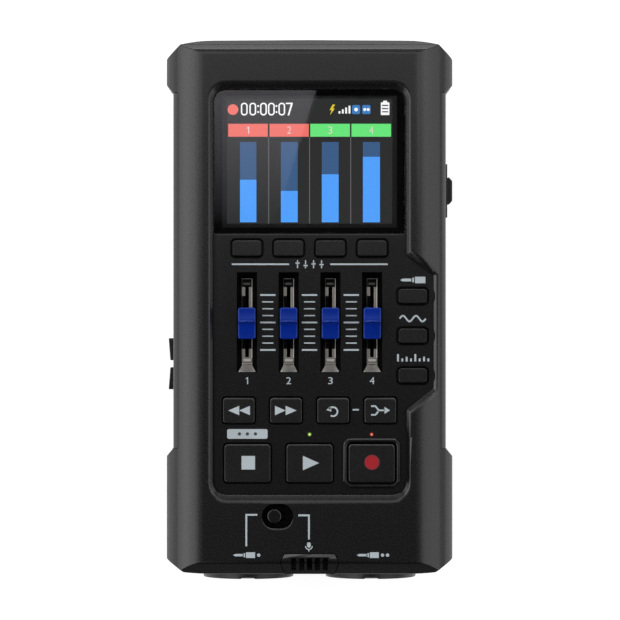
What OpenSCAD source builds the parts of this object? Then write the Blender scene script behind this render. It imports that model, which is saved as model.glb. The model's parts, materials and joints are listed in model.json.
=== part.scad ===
// Digital multitrack recorder, lying on its back.
// Sizes are millimetres. X runs right, Y runs to the screen end, Z comes out of the front face.

/* [Case] */
// Width between the straight sides
body_w = 81.8; // [78:0.1:90]
// How far the corner bumpers stand out from the sides
bumper_proud = 2.1; // [1:0.1:4]
// Length of the case beyond the panel at the screen end
head_l = 14.8; // [13:0.1:18]
// Length of the case beyond the panel at the jack end
tail_l = 23.8; // [23:0.1:28]
// Height of the case from its back to its front face
case_h = 44.8; // [42:0.1:50]
// Height of the rubber feet below the back
foot_h = 1.2; // [0.8:0.1:3]
// Wall of the two case halves
wall = 2.3; // [2:0.1:2.8]
// Wall at the two ends
end_wall = 3.2; // [2.8:0.1:5]
// Height of the parting plane, which is also the height of the input jacks
split_h = 24; // [23:0.1:26]
// Width of the curved shoulder at each side of the flat front
shoulder_w = 9.9; // [9:0.1:11.5]
// Radius of the gentle outer curve of the front
dome_r = 18; // [15:0.5:24]
// Angle that the gentle curve turns through
dome_a = 25; // [18:1:28]
// Radius of the long back edges
back_r = 3; // [2:0.1:4]
// Cut at the screen end of the front, along Y
top_bevel_y = 3.4; // [2:0.1:4]
// Cut at the screen end of the front, along Z
top_bevel_z = 3.2; // [2:0.1:5]
// Cut at the jack end of the front, along Y
low_bevel_y = 3.6; // [2:0.1:4]
// Cut at the jack end of the front, along Z
low_bevel_z = 2.4; // [1.6:0.1:4]
// Radius of the bend between that cut and the front
low_bend_r = 2.2; // [1:0.1:3]
// Radius of the bend between the cut at the screen end and the front
top_bend_r = 3; // [1:0.1:4]
// Cut along the two back end edges
back_bevel = 2.2; // [1:0.1:3]
// Length of the corner bumpers at the screen end
top_bumper_l = 15.8; // [12:0.1:20]
// Length of the corner bumpers at the jack end
low_bumper_l = 37.6; // [30:0.1:42]
// Run of the slope where a bumper meets the side
bumper_run = 2.5; // [1.5:0.1:4]

/* [Control panel] */
// Panel left beyond the large keys
panel_end = 3.65; // [3:0.05:5]
// Distance of the panel's widening from the side of the case
ear_edge = 3.9; // [3.5:0.1:4.3]
// Panel left beyond the side keys at the jack end of the widening
ear_end_low = 1.85; // [1.2:0.01:2.5]
// Panel left beyond the side keys at the screen end of the widening
ear_end_top = 4; // [3:0.01:4.5]
// Run of the widening's slope at its jack end
ear_slope_low = 6.1; // [5:0.1:7]
// Run of the widening's slope at its screen end
ear_slope_top = 6.3; // [5:0.1:7]
// Thickness of the panel plate
panel_t = 2.4; // [2.2:0.1:3]
// How far the plate reaches under the case rim
panel_lap = 1.6; // [0.8:0.1:2]
// Gap round the plate in its pocket
panel_gap = 0.15; // [0.1:0.05:0.3]
// Run of the rim's slope at the sides
rim_run = 1.5; // [0.8:0.1:2]
// Run of the rim's slope at the screen end
rim_run_top = 2.1; // [1.5:0.1:3]
// Run of the rim's slope at the jack end
rim_run_low = 2.2; // [1:0.1:2.5]
// Run of the rim's slope at the widening's side
rim_run_ear = 1.1; // [0.8:0.05:1.3]
// Run of the rim's slope at the widening's two ends
rim_run_cut = 1.9; // [1.4:0.05:2.2]
// Height of the rim's slope
rim_h = 1.1; // [0.8:0.05:1.4]
// Height of the rim's slope at the widening
rim_h_ear = 0.5; // [0.4:0.05:0.7]
// Share of the rim's run that its flat crest takes
crest_q = 0.3; // [0.15:0.05:0.4]
// Share of the rim's height that its flat crest takes
crest_rise = 0.12; // [0.05:0.01:0.3]
// Depth of the scallop in the rim beside each side key
scallop_d = 0.45; // [0.3:0.05:0.6]
// Length of that scallop
scallop_l = 3.5; // [2.5:0.1:4]

/* [Display] */
// Width of the clear lens
lens_w = 57.1; // [55:0.1:57.3]
// Length of the clear lens
lens_l = 42.9; // [42:0.1:43.2]
// Gap between the lens and the panel's screen end
lens_edge = 0.2; // [0.2:0.05:0.5]
// Gap between the lens and the panel's sides
lens_side = 0.35; // [0.2:0.05:0.6]
// Gap between the soft keys and the lens
lens_clear = 2.24; // [1.8:0.02:3]
// Cut along the edge of the lens seat, across
seat_bevel = 0.5; // [0.3:0.05:0.8]
// Cut along the edge of the lens seat, in height
seat_bevel_z = 0.35; // [0.2:0.05:0.6]
// Thickness of the lens
lens_t = 1.4; // [1:0.1:1.6]
// Gap round the lens
lens_gap = 0.1; // [0.05:0.05:0.2]
// Width of the ledge under the lens at its sides
ledge_side = 2.35; // [1.5:0.05:3.5]
// Width of the ledge under the lens at its ends
ledge_end = 1.65; // [1.2:0.05:2.4]
// How far the display module reaches past the window at the sides
lcd_side = 3.9; // [2:0.1:4]
// How far the display module reaches past the window at the ends
lcd_end = 1.5; // [1:0.1:2]
// Thickness of the display module
lcd_t = 2.5; // [2:0.1:3]

/* [Keys] */
// Gap round each key in its hole
key_gap = 0.45; // [0.3:0.05:0.6]
// Width of the flange that holds a key under the panel
key_flange = 1; // [0.8:0.1:1.1]
// Thickness of that flange
key_flange_t = 0.8; // [0.6:0.1:1]
// Travel of each key
key_travel = 0.6; // [0.4:0.05:0.6]
// Height of the soft keys and side keys above the panel
low_key_h = 0.9; // [0.6:0.1:1.5]
// Height of the transport keys above the panel
high_key_h = 1.3; // [0.8:0.1:2]
// Spacing of the soft keys and faders
fader_pitch = 12.5; // [12:0.1:13]
// Gap between the fader slots and the soft keys
soft_gap = 4.86; // [4.4:0.02:6]
// Width of a soft key
soft_w = 8.5; // [7:0.1:9.2]
// Length of a soft key
soft_l = 4.6; // [3.6:0.1:5]
// Panel left between the side keys and the widening's side
side_edge = 1.93; // [1.5:0.01:2.4]
// How far the middle side key lies below the middle of the faders
side_drop = 4.06; // [3:0.02:5]
// Spacing of the side keys
side_pitch = 11.88; // [11:0.02:12.2]
// Width of a side key
side_w = 8.4; // [7:0.1:8.6]
// Length of a side key
side_l = 4.3; // [3.4:0.1:5]
// Spacing of the four middle keys
mid_pitch = 14.12; // [13.6:0.02:14.6]
// Gap between the fader slots and the middle keys
mid_gap = 7.6; // [6.5:0.1:9]
// Width of a middle key
mid_w = 9.5; // [8:0.1:10]
// Length of a middle key
mid_l = 7.6; // [6:0.1:8]
// Spacing of the three large keys
large_pitch = 18.6; // [18.2:0.1:19]
// Gap between the middle keys and the large keys
large_gap = 6.25; // [5.5:0.05:8]
// Width of a large key
large_w = 13.8; // [12:0.1:14]
// Length of a large key
large_l = 11.5; // [10:0.1:11.8]
// Width of the ring round the record key
ring_w = 1.1; // [0.8:0.1:1.2]
// Cut at the jack-end corners of that ring
ring_cut = 2; // [1.9:0.1:2.2]
// Radius of the other corners of that ring
ring_r = 2.2; // [1.8:0.1:2.4]
// Height of that ring above the panel
ring_h = 1.0; // [0.6:0.1:1.6]
// Cut along the ring's edges, across
ring_bevel = 0.36; // [0.2:0.02:0.4]
// Cut along the ring's edges, in height
ring_bevel_z = 0.26; // [0.15:0.01:0.4]
// Gap between that ring and the key's hole
ring_gap = 0.1; // [0.05:0.05:0.3]
// Distance of the two status lights from the middle keys
led_gap = 3.4; // [2.6:0.1:3.8]
// Radius of a status light
led_r = 0.6; // [0.5:0.05:0.9]

/* [Faders] */
// Middle of the fader slots
fader_y = -3.6; // [-4:0.1:-3]
// Length of a fader slot
slot_l = 30; // [29:0.1:31]
// Width of a fader slot at the panel's face
slot_w = 6.05; // [5:0.05:7]
// Width of a fader slot at the panel's underside
slot_in_w = 3.1; // [2.8:0.1:3.6]
// Travel of a fader to each side of its middle
fader_travel = 8.2; // [6:0.1:8.5]
// Width of a fader knob
knob_w = 5.3; // [4:0.1:7]
// Length of a fader knob
knob_l = 9.4; // [8:0.1:9.6]
// Radius of a fader knob's corners
knob_corner = 0.7; // [0.3:0.05:1]
// Height of a fader knob above the front face
knob_rise = 2; // [1.6:0.1:4]
// Step from a fader knob's ridge down to its lower part
knob_step = 1.4; // [0.8:0.1:1.8]
// Gap under a fader knob
knob_gap = 0.45; // [0.3:0.05:0.6]
// Thickness of a fader lever
lever_t = 0.5; // [0.5:0.05:1]
// Length of a fader lever
lever_l = 4; // [3:0.1:4.4]
// Gap round a lever in its frame
lever_gap = 0.3; // [0.3:0.05:0.5]
// Width of a fader frame
frame_w = 6.6; // [6:0.1:8]
// Run of the slope at the jack end of a fader frame
ramp_low = 2.5; // [1:0.1:2.6]
// Run of the slope at the screen end of a fader slot
ramp_top = 1.9; // [1:0.1:2.6]
// Run of the small step before the jack-end slope
step_run = 1.1; // [0.6:0.1:1.4]
// Height of that small step
step_h = 0.5; // [0.3:0.05:0.8]

/* [Input select switch] */
// Middle of the dish
pick_x = -9.58; // [-10:0.02:-9]
// Distance of the dish's middle from the panel
pick_gap = 6.4; // [6:0.1:7]
// Radius of the dish at the front face
dish_r = 3.75; // [3.4:0.05:4]
// Radius of the dish at its floor
dish_floor_r = 3.1; // [3:0.05:3.3]
// Depth of the dish
dish_depth = 2.6; // [2.4:0.1:3]
// Travel of the knob
pick_travel = 1.9; // [1.2:0.1:1.9]
// Radius of the knob
pick_r = 2.17; // [1.6:0.01:2.3]

/* [Power switch] */
// How far the power switch lies below the middle of the lens
power_drop = 8.45; // [7:0.05:10]
// Height of the side switches
side_z = 30; // [29.6:0.1:30.4]
// Length of the bezel
bezel_l = 16.2; // [16:0.1:18]
// Height of the bezel
bezel_h = 6; // [5.6:0.1:6.6]
// How far the bezel stands out
bezel_proud = 0.75; // [0.3:0.05:1]
// Travel of the knob to each side of its middle
power_travel = 2.5; // [1.5:0.1:2.6]
// Length of the knob at its foot
power_l = 8.2; // [7.4:0.1:9]
// How far the knob stands out
power_proud = 2.3; // [1.4:0.05:2.6]

/* [Volume buttons] */
// Row of the gap between the two buttons
volume_y = -16.2; // [-17:0.1:-15]
// Length of one button
volume_l = 6.7; // [5:0.1:7]
// Height of a button
volume_h = 4.6; // [3.6:0.1:5]
// Gap between the two buttons
volume_gap = 2.1; // [2:0.1:3]
// How far a button stands out at its outer end
volume_proud = 1.75; // [1.2:0.05:2]
// Travel of a button
volume_travel = 0.5; // [0.3:0.05:0.5]

/* [Sockets] */
// Distance of each input jack from the middle
jack_x = 18.6; // [18:0.1:19]
// Radius of an input jack's rim
rim_r = 13.7; // [13.4:0.1:14]
// How far the rims stand out of the jack end
jack_proud = 2; // [1:0.1:3]
// Radius of an input jack's barrel
barrel_r = 11.7; // [11.4:0.1:12]
// Radius of the ring opening in an input jack
ring_bore_r = 9.6; // [9.4:0.1:9.8]
// Depth of an input jack behind the jack end
jack_depth = 22; // [20:0.1:22.5]
// Radius of an input jack's insert
insert_r = 7.9; // [7.6:0.1:8]
// Radius of the plug hole in an insert
plug_r = 3.25; // [3.2:0.01:3.4]
// Depth of the plug hole
plug_depth = 18; // [16:0.1:18]
// Circle of the pin holes in an insert
pin_circle_r = 5.6; // [5.4:0.05:5.8]
// Radius of a pin hole
pin_r = 1.25; // [1.1:0.05:1.3]
// Gap round a jack's barrel in the case
jack_gap = 0.15; // [0.1:0.05:0.3]
// Row of the headphone jack
phones_y = -36; // [-37:0.1:-35]
// Row of the line-out jack
line_y = 6; // [4:0.1:8]
// Radius of the plug holes of those two jacks
mini_r = 1.8; // [1.78:0.01:1.9]
// Radius of the nose of those two jacks
mini_nose_r = 2.9; // [2.6:0.1:3]
// Row of the USB port
usb_y = 8; // [6:0.1:10]
// Row of the memory card
card_y = -22; // [-24:0.1:-20]
// Length of the card cover
cover_l = 18; // [16:0.1:20]
// Height of the card cover
cover_h = 7; // [6:0.1:7.4]
// Thickness of the card cover
cover_t = 1.2; // [1:0.05:1.3]
// Radius of the cover's hinge pin
hinge_r = 0.5; // [0.4:0.05:0.55]
// Gap round the cover
cover_gap = 0.3; // [0.3:0.05:0.4]

/* [Microphone] */
// Half width of the grille at its screen side
grille_hw = 7.4; // [7:0.1:7.8]
// Half width of the grille at the bend of the front
grille_mid_hw = 8.7; // [8:0.1:9]
// Half width of the grille at the jack end
grille_end_hw = 7.4; // [7:0.1:7.8]
// Length of the grille along Y
grille_l = 6.2; // [6:0.1:6.6]
// Gap round the grille
grille_gap = 0.2; // [0.1:0.05:0.3]
// Width of a grille slot
grille_slot_w = 1.5; // [1:0.05:1.6]
// Spacing of the grille slots
grille_pitch = 2.36; // [2.2:0.01:2.5]
// Length of a grille slot
grille_slot_l = 3.8; // [2.6:0.1:4]

/* [Batteries] */
// Radius of a cell
cell_r = 7.15; // [6.9:0.05:7.25]
// Length of a cell's can
cell_l = 49.2; // [48:0.1:49.4]
// Spacing of the cells
cell_pitch = 14.6; // [14.5:0.05:14.7]
// Gap left for a contact at each end of the row
contact_l = 3; // [2.6:0.1:3.4]
// Half width of the battery door
door_hw = 30.2; // [30:0.1:30.4]
// How far the battery door reaches past the cells' room
door_lap = 3.9; // [3:0.1:5]
// Thickness of the battery door
door_t = 2; // [1.8:0.1:2.2]
// Gap round the door
door_gap = 0.3; // [0.3:0.05:0.4]
// Width of the door's side tongues
tongue_w = 1; // [0.8:0.1:1.1]

/* [Fixings] */
// Distance of the case screws from the sides
screw_edge = 5.7; // [5.6:0.1:5.9]
// Distance of two case screws from the screen end
screw_top = 7; // [6.6:0.1:9]
// Distance of the other two from the jack end
screw_low = 31; // [29:0.1:34]
// Radius of a case screw
screw_r = 1.3; // [1.1:0.05:1.4]
// Radius of a case screw's boss
boss_r = 3.2; // [3:0.1:3.3]
// Radius of a case screw's head
screw_head_r = 2.4; // [2:0.1:2.6]
// Distance of the feet's middles from the screen end
foot_top = 27; // [20:0.5:32]
// Distance of the feet's middles from the jack end
foot_low = 13; // [11:0.5:16]
// Length of a foot
foot_l = 16; // [12:0.5:18]
// Width of a foot
foot_w = 3.6; // [3:0.1:4]
// Thickness of a board
board_t = 1.6; // [1.2:0.1:1.8]
// Gap used where two fixed pieces sit side by side
fit = 0.05; // [0.03:0.01:0.1]

/* [Hidden] */
$fn = 48;
front_z = foot_h + case_h;
back_z = foot_h;
split_z = split_h;
jack_z = split_z;
body_hw = body_w / 2;
bumper_hw = body_hw + bumper_proud;
flat_hw = body_hw - shoulder_w;
panel_z = front_z - wall;
panel_under = panel_z - panel_t;
// rows, from the faders to the two ends
soft_y = fader_y + slot_l / 2 + soft_gap + soft_l / 2;
lens_y = soft_y + soft_l / 2 + lens_clear + lens_l / 2;
panel_top = lens_y + lens_l / 2 + lens_edge;
power_y = lens_y - power_drop;
y_top = panel_top + head_l;
mid_y = fader_y - slot_l / 2 - mid_gap - mid_l / 2;
led_y = mid_y - mid_l / 2 - led_gap;
large_y = mid_y - mid_l / 2 - large_gap - large_l / 2;
panel_low = large_y - large_l / 2 - panel_end;
pick_y = panel_low - pick_gap;
y_low = panel_low - tail_l;
// columns of the panel and its widening
panel_hw = lens_w / 2 + lens_side;
ear_x = body_hw - ear_edge;
side_x = ear_x - side_edge - side_w / 2;
side_y = fader_y - side_drop;
ear_y = [side_y - side_pitch - side_l / 2 - ear_end_low, side_y + side_pitch + side_l / 2 + ear_end_top];
ear_root_y = [ear_y[0] - ear_slope_low, ear_y[1] + ear_slope_top];
scallop_r = (scallop_l * scallop_l / 4 + scallop_d * scallop_d) / 2 / scallop_d;
lens_floor = panel_z - lens_t;
seat_y = lens_y - lens_l / 2 - lens_gap;
window_w = lens_w - 2 * ledge_side;
window_l = lens_l - 2 * ledge_end;
lcd_w = window_w + 2 * lcd_side;
lcd_l = window_l + 2 * lcd_end;
lcd_top = panel_under - fit;
key_seat = panel_under - 0.1;
stem_low = key_seat - key_flange_t - 1;
switch_top = stem_low - key_travel - 0.15;
switch_h = 3.3;
board_top = switch_top - switch_h;
board_low = board_top - board_t;
knob_top = front_z + knob_rise;
knob_low = panel_z + knob_gap;
fader_xs = [-1.5 * fader_pitch, -0.5 * fader_pitch, 0.5 * fader_pitch, 1.5 * fader_pitch];
frame_top = panel_under - fit;
frame_slot_l = lever_l + 2 * fader_travel + 2 * lever_gap;
frame_slot_w = lever_t + 2 * lever_gap;
lever_low = board_top + 1.6;
screw_x = body_hw - screw_edge;
screw_ys = [y_low + screw_low, y_top - screw_top];
foot_ys = [y_low + foot_low, y_top - foot_top];
post_r = 1.7;
post_gap = 0.5;
post_top_x = panel_hw - post_r + 0.3;
post_low_x = large_pitch + large_w / 2 + key_flange + post_gap + post_r;
post_low_y = screw_ys[0] + boss_r + post_gap + post_r + 0.4;
post_xy = [for (s = [-1, 1]) each [[s * post_top_x, soft_y - 1], [s * post_low_x, post_low_y]]];
board_hw = body_hw - wall - 2.6;
board_neck_hw = screw_x - boss_r - 1;
board_step_y = screw_ys[0] + boss_r + 3.3;
board_y = [panel_low - 0.3, lens_y + 1.45];
mini_z = board_low - 2.85;
usb_z = board_low - 1.65;
card_z = board_low - 1.1;
cover_low = card_z - 4;
hinge_x = body_hw - 2 * hinge_r;
hinge_z = cover_low + 2 * hinge_r;
cells = 4;
bay_hw = cells / 2 * cell_pitch + 0.1;
bay_l = cell_l + 1.3 + 2 * contact_l;
bay_y = [y_top - end_wall - 2.4 - bay_l, y_top - end_wall - 2.4];
bay_z = back_z + door_t + door_gap + 2 * cell_r + 0.3;
door_y = bay_y[0] - door_lap;
cell_z = bay_z - cell_r - 0.15;
contact_hw = cell_r - 2.35;
input_board_top = jack_z - barrel_r - 2.6;
input_board_low = input_board_top - board_t;
pick_floor = front_z - dish_depth;
pick_seat = pick_floor - 1.2;
jack_end = y_low - jack_proud;
jack_back = y_low + jack_depth;
input_board_hw = jack_x + barrel_r + 0.7;
input_board_y = [y_low + end_wall + 1, jack_back + 7];
insert_face = y_low - 0.5;
low_key_top = panel_z + low_key_h;
high_key_top = panel_z + high_key_h;

KEYS = [
    ["soft_key_1", fader_xs[0], soft_y, soft_w, soft_l, 0.8, low_key_top],
    ["soft_key_2", fader_xs[1], soft_y, soft_w, soft_l, 0.8, low_key_top],
    ["soft_key_3", fader_xs[2], soft_y, soft_w, soft_l, 0.8, low_key_top],
    ["soft_key_4", fader_xs[3], soft_y, soft_w, soft_l, 0.8, low_key_top],
    ["input_key", side_x, side_y + side_pitch, side_w, side_l, 1, low_key_top],
    ["effect_key", side_x, side_y, side_w, side_l, 1, low_key_top],
    ["rhythm_key", side_x, side_y - side_pitch, side_w, side_l, 1, low_key_top],
    ["rewind_key", -1.5 * mid_pitch, mid_y, mid_w, mid_l, 0.8, high_key_top],
    ["forward_key", -0.5 * mid_pitch, mid_y, mid_w, mid_l, 0.8, high_key_top],
    ["undo_key", 0.5 * mid_pitch, mid_y, mid_w, mid_l, 0.8, high_key_top],
    ["bounce_key", 1.5 * mid_pitch, mid_y, mid_w, mid_l, 0.8, high_key_top],
    ["stop_key", -large_pitch, large_y, large_w, large_l, 0.9, high_key_top],
    ["play_key", 0, large_y, large_w, large_l, 0.9, high_key_top],
    ["record_key", large_pitch, large_y, large_w, large_l, 0.9, high_key_top]
];

// Points of a corner at b, rounded to radius r, on the way from a to c
function corner(a, b, c, r, n) =
    let (u = (a - b) / norm(a - b), v = (c - b) / norm(c - b))
    let (h = acos(u * v) / 2)
    let (m = b + (u + v) / norm(u + v) * r / sin(h))
    let (p = b + u * r / tan(h), q = b + v * r / tan(h))
    let (s = atan2(p.y - m.y, p.x - m.x), e = atan2(q.y - m.y, q.x - m.x))
    let (turn = (e - s + 540) % 360 - 180)
    [for (i = [0:n]) m + r * [cos(s + turn * i / n), sin(s + turn * i / n)]];

// A closed outline with each corner rounded to its own radius
function rounded(pts, rs, n = 5) =
    let (k = len(pts))
    [for (i = [0:k - 1]) each corner(pts[(i + k - 1) % k], pts[i], pts[(i + 1) % k], rs[i], n)];

function rect(w, l) = [[-w / 2, -l / 2], [w / 2, -l / 2], [w / 2, l / 2], [-w / 2, l / 2]];

// The panel's outline grown by side, screen end, jack end, ear side and ear slope
function panel_pts(gs, gt, gl, gx, gd) =
    let (run = ear_x - panel_hw)
    let (s0 = (ear_y[0] - ear_root_y[0]) / run, s1 = (ear_root_y[1] - ear_y[1]) / run)
    let (q0 = gd * sqrt(1 + s0 * s0), q1 = gd * sqrt(1 + s1 * s1))
    [[-panel_hw - gs, panel_low - gl],
     [panel_hw + gs, panel_low - gl],
     [panel_hw + gs, ear_root_y[0] + s0 * gs - q0],
     [ear_x + gx, ear_y[0] + s0 * gx - q0],
     [ear_x + gx, ear_y[1] - s1 * gx + q1],
     [panel_hw + gs, ear_root_y[1] - s1 * gs + q1],
     [panel_hw + gs, panel_top + gt],
     [-panel_hw - gs, panel_top + gt]];

PANEL_RS = [4, 4, 1.5, 1.5, 1.5, 1.5, 3.6, 3.6];
// How much each corner's radius grows with the outline
RS_GROW = [1, 1, -0.7, 1, 1, -0.7, 1, 1];
ARC_N = 5;

function panel_outline(g) = rounded(panel_pts(g, g, g, g, g), PANEL_RS);

// Height of the front of the case at x
function front_at(x) =
    let (d = max(abs(x) - flat_hw, 0))
    front_z - dome_r + sqrt(dome_r * dome_r - d * d);

// How far the rim's crest reaches past its slope of run r and height h
function crest_reach(r, h) = crest_q * sqrt(r * r + h * h);

// Outline of the rim at the share k of its slope and the share c of its crest
function rim_outline(k, c) =
    let (g = k * rim_run + c * crest_reach(rim_run, rim_h))
    let (gt = k * rim_run_top + c * crest_reach(rim_run_top, rim_h))
    let (gl = k * rim_run_low + c * crest_reach(rim_run_low, rim_h))
    let (gx = k * rim_run_ear + c * crest_reach(rim_run_ear, rim_h_ear))
    let (gd = k * rim_run_cut + c * crest_reach(rim_run_cut, rim_h_ear))
    let (p = rounded(panel_pts(g, gt, gl, gx, gd), PANEL_RS + g * RS_GROW, ARC_N))
    let (n = ARC_N + 1)
    // more points on the widening's two slopes, which cross the curved shoulder
    concat([for (i = [0:3 * n - 1]) p[i]], between(p[3 * n - 1], p[3 * n], 4),
        [for (i = [3 * n:5 * n - 1]) p[i]], between(p[5 * n - 1], p[5 * n], 4),
        [for (i = [5 * n:8 * n - 1]) p[i]]);

function between(a, b, n) = [for (i = [1:n]) a + (b - a) * i / (n + 1)];

// Sunken place above the control panel: a straight foot, a slope and a rounded crest
module sunken() {
    over = 0.02;
    low = rim_outline(0, 0);
    mid = rim_outline(1 - crest_q, 0);
    top = rim_outline(1, 1);
    n = len(low);
    rise = [for (i = [0:n - 1])
        let (k = min(max((low[i].x - panel_hw) / (ear_x - panel_hw), 0), 1))
        rim_h + (rim_h_ear - rim_h) * k];
    loft([
        [for (p = low) [p.x, p.y, panel_z - over]],
        [for (i = [0:n - 1]) [low[i].x, low[i].y, front_at(top[i].x) - rise[i]]],
        [for (i = [0:n - 1]) [mid[i].x, mid[i].y, front_at(top[i].x) - crest_rise * rise[i]]],
        [for (p = top) [p.x, p.y, front_at(p.x) + over]],
        [for (p = top) [p.x, p.y, front_z + 1]]]);
}

// A solid through outlines of as many points each, from the lowest up; the first and the last are flat
module loft(rings) {
    n = len(rings[0]);
    last = len(rings) - 1;
    polyhedron(
        points = [for (r = rings) each r],
        faces = concat(
            [[for (i = [0:n - 1]) i]],
            [for (r = [0:last - 1], i = [0:n - 1]) each let (j = (i + 1) % n, b = r * n, t = b + n)
                [[b + i, t + i, t + j], [b + i, t + j, b + j]]],
            [[for (i = [n - 1:-1:0]) last * n + i]]));
}

function at_height(pts, z) = [for (p = pts) [p.x, p.y, z]];

module slab(z0, z1) {
    translate([0, 0, z0]) linear_extrude(height = z1 - z0) children();
}

// A drawing in X and Z, drawn out from y0 to y1
module along_y(y0, y1) {
    translate([0, y1, 0]) rotate([90, 0, 0]) linear_extrude(height = y1 - y0) children();
}

// A drawing in Y and Z, drawn out from x0 to x1
module along_x(x0, x1) {
    translate([x0, 0, 0]) rotate([90, 0, 90]) linear_extrude(height = x1 - x0) children();
}

module box(x0, x1, y0, y1, z0, z1) {
    translate([x0, y0, z0]) cube([x1 - x0, y1 - y0, z1 - z0]);
}

// A round bar along Y, X or Z
module bar_y(x, z, r, y0, y1) {
    translate([x, y1, z]) rotate([90, 0, 0]) cylinder(r = r, h = y1 - y0);
}

module bar_x(y, z, r, x0, x1) {
    translate([x0, y, z]) rotate([0, 90, 0]) cylinder(r = r, h = x1 - x0);
}

module bar_z(x, y, r, z0, z1) {
    translate([x, y, z0]) cylinder(r = r, h = z1 - z0);
}

// Points on an arc round m from angle a0 to a1
function arc(m, r, a0, a1, n) =
    [for (i = [0:n]) let (a = a0 + (a1 - a0) * i / n) m + r * [cos(a), sin(a)]];

// Cross section of the case, half width hw, drawn in by t
module section(hw, t) {
    sn = sin(dome_a);
    knee = [flat_hw + dome_r * sn, front_z - dome_r * (1 - cos(dome_a))];
    r2 = (hw - knee.x) / (1 - sn);
    m2 = knee - r2 * [sn, cos(dome_a)];
    low = back_z + t;
    br = max(back_r - t, 0.5);
    right = concat(
        arc([hw - t - br, low + br], br, -90, 0, 5),
        arc(m2, r2 - t, 0, 90 - dome_a, 8),
        [for (i = [1:8]) let (a = 90 - dome_a + dome_a * i / 8)
            [flat_hw, front_z - dome_r] + (dome_r - t) * [cos(a), sin(a)]]);
    n = len(right);
    polygon(concat(right, [for (i = [n - 1:-1:0]) [-right[i].x, right[i].y]]));
}

// Outline of the case seen from the front
module outline() {
    b = bumper_hw;
    shoulder = b - 14;
    top_flat = [for (i = [0:4]) let (k = i / 4) [shoulder + 9.7 * k, y_top - 0.2 - 1.2 * k * k]];
    low_flat = [for (i = [4:-1:0]) let (k = i / 4) [shoulder + 8.8 * k, y_low + 0.5 * k * k]];
    right = concat(
        low_flat_rev(low_flat),
        [[b, y_low + 4.3],
         [b, y_low + low_bumper_l - bumper_run],
         [body_hw + 0.3 * bumper_proud, y_low + low_bumper_l - 0.3 * bumper_run],
         [body_hw, y_low + low_bumper_l],
         [body_hw, y_top - top_bumper_l],
         [body_hw + 0.3 * bumper_proud, y_top - top_bumper_l + 0.3 * bumper_run],
         [b, y_top - top_bumper_l + bumper_run],
         [b, y_top - 5.6]],
        [for (i = [4:-1:0]) top_flat[i]],
        [[0, y_top]]);
    n = len(right);
    polygon(concat(right, [for (i = [n - 2:-1:0]) [-right[i].x, right[i].y]]));
}

function low_flat_rev(p) = [for (i = [len(p) - 1:-1:0]) p[i]];

// Side view of the case with its cut ends
module end_profile() {
    top_edge = [y_top, front_z - top_bevel_z];
    top_bend = [y_top - top_bevel_y, front_z];
    low_bend = [y_low + low_bevel_y, front_z];
    low_edge = [y_low, front_z - low_bevel_z];
    polygon(concat(
        [[y_low + back_bevel, back_z], [y_top - back_bevel, back_z], [y_top, back_z + back_bevel], top_edge],
        corner(top_edge, top_bend, low_bend, top_bend_r, 4),
        corner(top_bend, low_bend, low_edge, low_bend_r, 4),
        [low_edge, [y_low, back_z + back_bevel]]));
}

module case_solid() {
    intersection() {
        union() {
            along_y(y_low - 1, y_top + 1) section(body_hw, 0);
            intersection() {
                along_y(y_low - 1, y_top + 1) section(bumper_hw, 0);
                union() {
                    box(-60, 60, y_top - top_bumper_l, y_top + 2, 0, front_z + 2);
                    box(-60, 60, y_low - 2, y_low + low_bumper_l, 0, front_z + 2);
                }
            }
        }
        slab(-1, front_z + 2) outline();
        along_x(-60, 60) end_profile();
    }
}

module cavity() {
    along_y(y_low + end_wall, y_top - end_wall) section(body_hw, wall);
}

// Outline of the grille insert, grown by g
module grille_outline(g) {
    bend = y_low + low_bevel_y;
    far = y_low + grille_l + g;
    polygon([[-grille_end_hw - g, y_low - 1], [grille_end_hw + g, y_low - 1], [grille_end_hw + g, y_low],
        [grille_mid_hw + g, bend], [grille_hw + g, far], [-grille_hw - g, far],
        [-grille_mid_hw - g, bend], [-grille_end_hw - g, y_low]]);
}

grille_low = front_z - 7;

module dish() {
    // two cones and the straight stretch between them
    half = pick_travel / 2;
    for (s = [-1, 1]) {
        translate([pick_x + s * half, pick_y, pick_floor])
            cylinder(r1 = dish_floor_r, r2 = dish_r, h = dish_depth + 0.01);
    }
    along_x(pick_x - half, pick_x + half)
        polygon([[pick_y - dish_floor_r, pick_floor], [pick_y + dish_floor_r, pick_floor],
            [pick_y + dish_r, front_z + 0.01], [pick_y - dish_r, front_z + 0.01]]);
}

pick_stem = 1.5;
power_stem_l = 4;
power_stem_h = 1.8;
power_slot_l = power_stem_l + 2 * power_travel + 0.8;
power_slot_h = power_stem_h + 0.8;

module cover_pocket() {
    box(hinge_x - 2 * hinge_r - 0.35, body_hw + 1, card_y - cover_l / 2 - cover_gap,
        card_y + cover_l / 2 + cover_gap, cover_low - cover_gap, cover_low + cover_h + cover_gap);
}

// Bosses of the case screws, each with a rib to the side wall
module screw_bosses(z0, z1) {
    side = body_hw - wall + 0.5;
    for (x = [-screw_x, screw_x], y = screw_ys) {
        bar_z(x, y, boss_r, z0, z1);
        box(min(x, sign(x) * side), max(x, sign(x) * side), y - 1, y + 1, z0, z1);
    }
}

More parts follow.
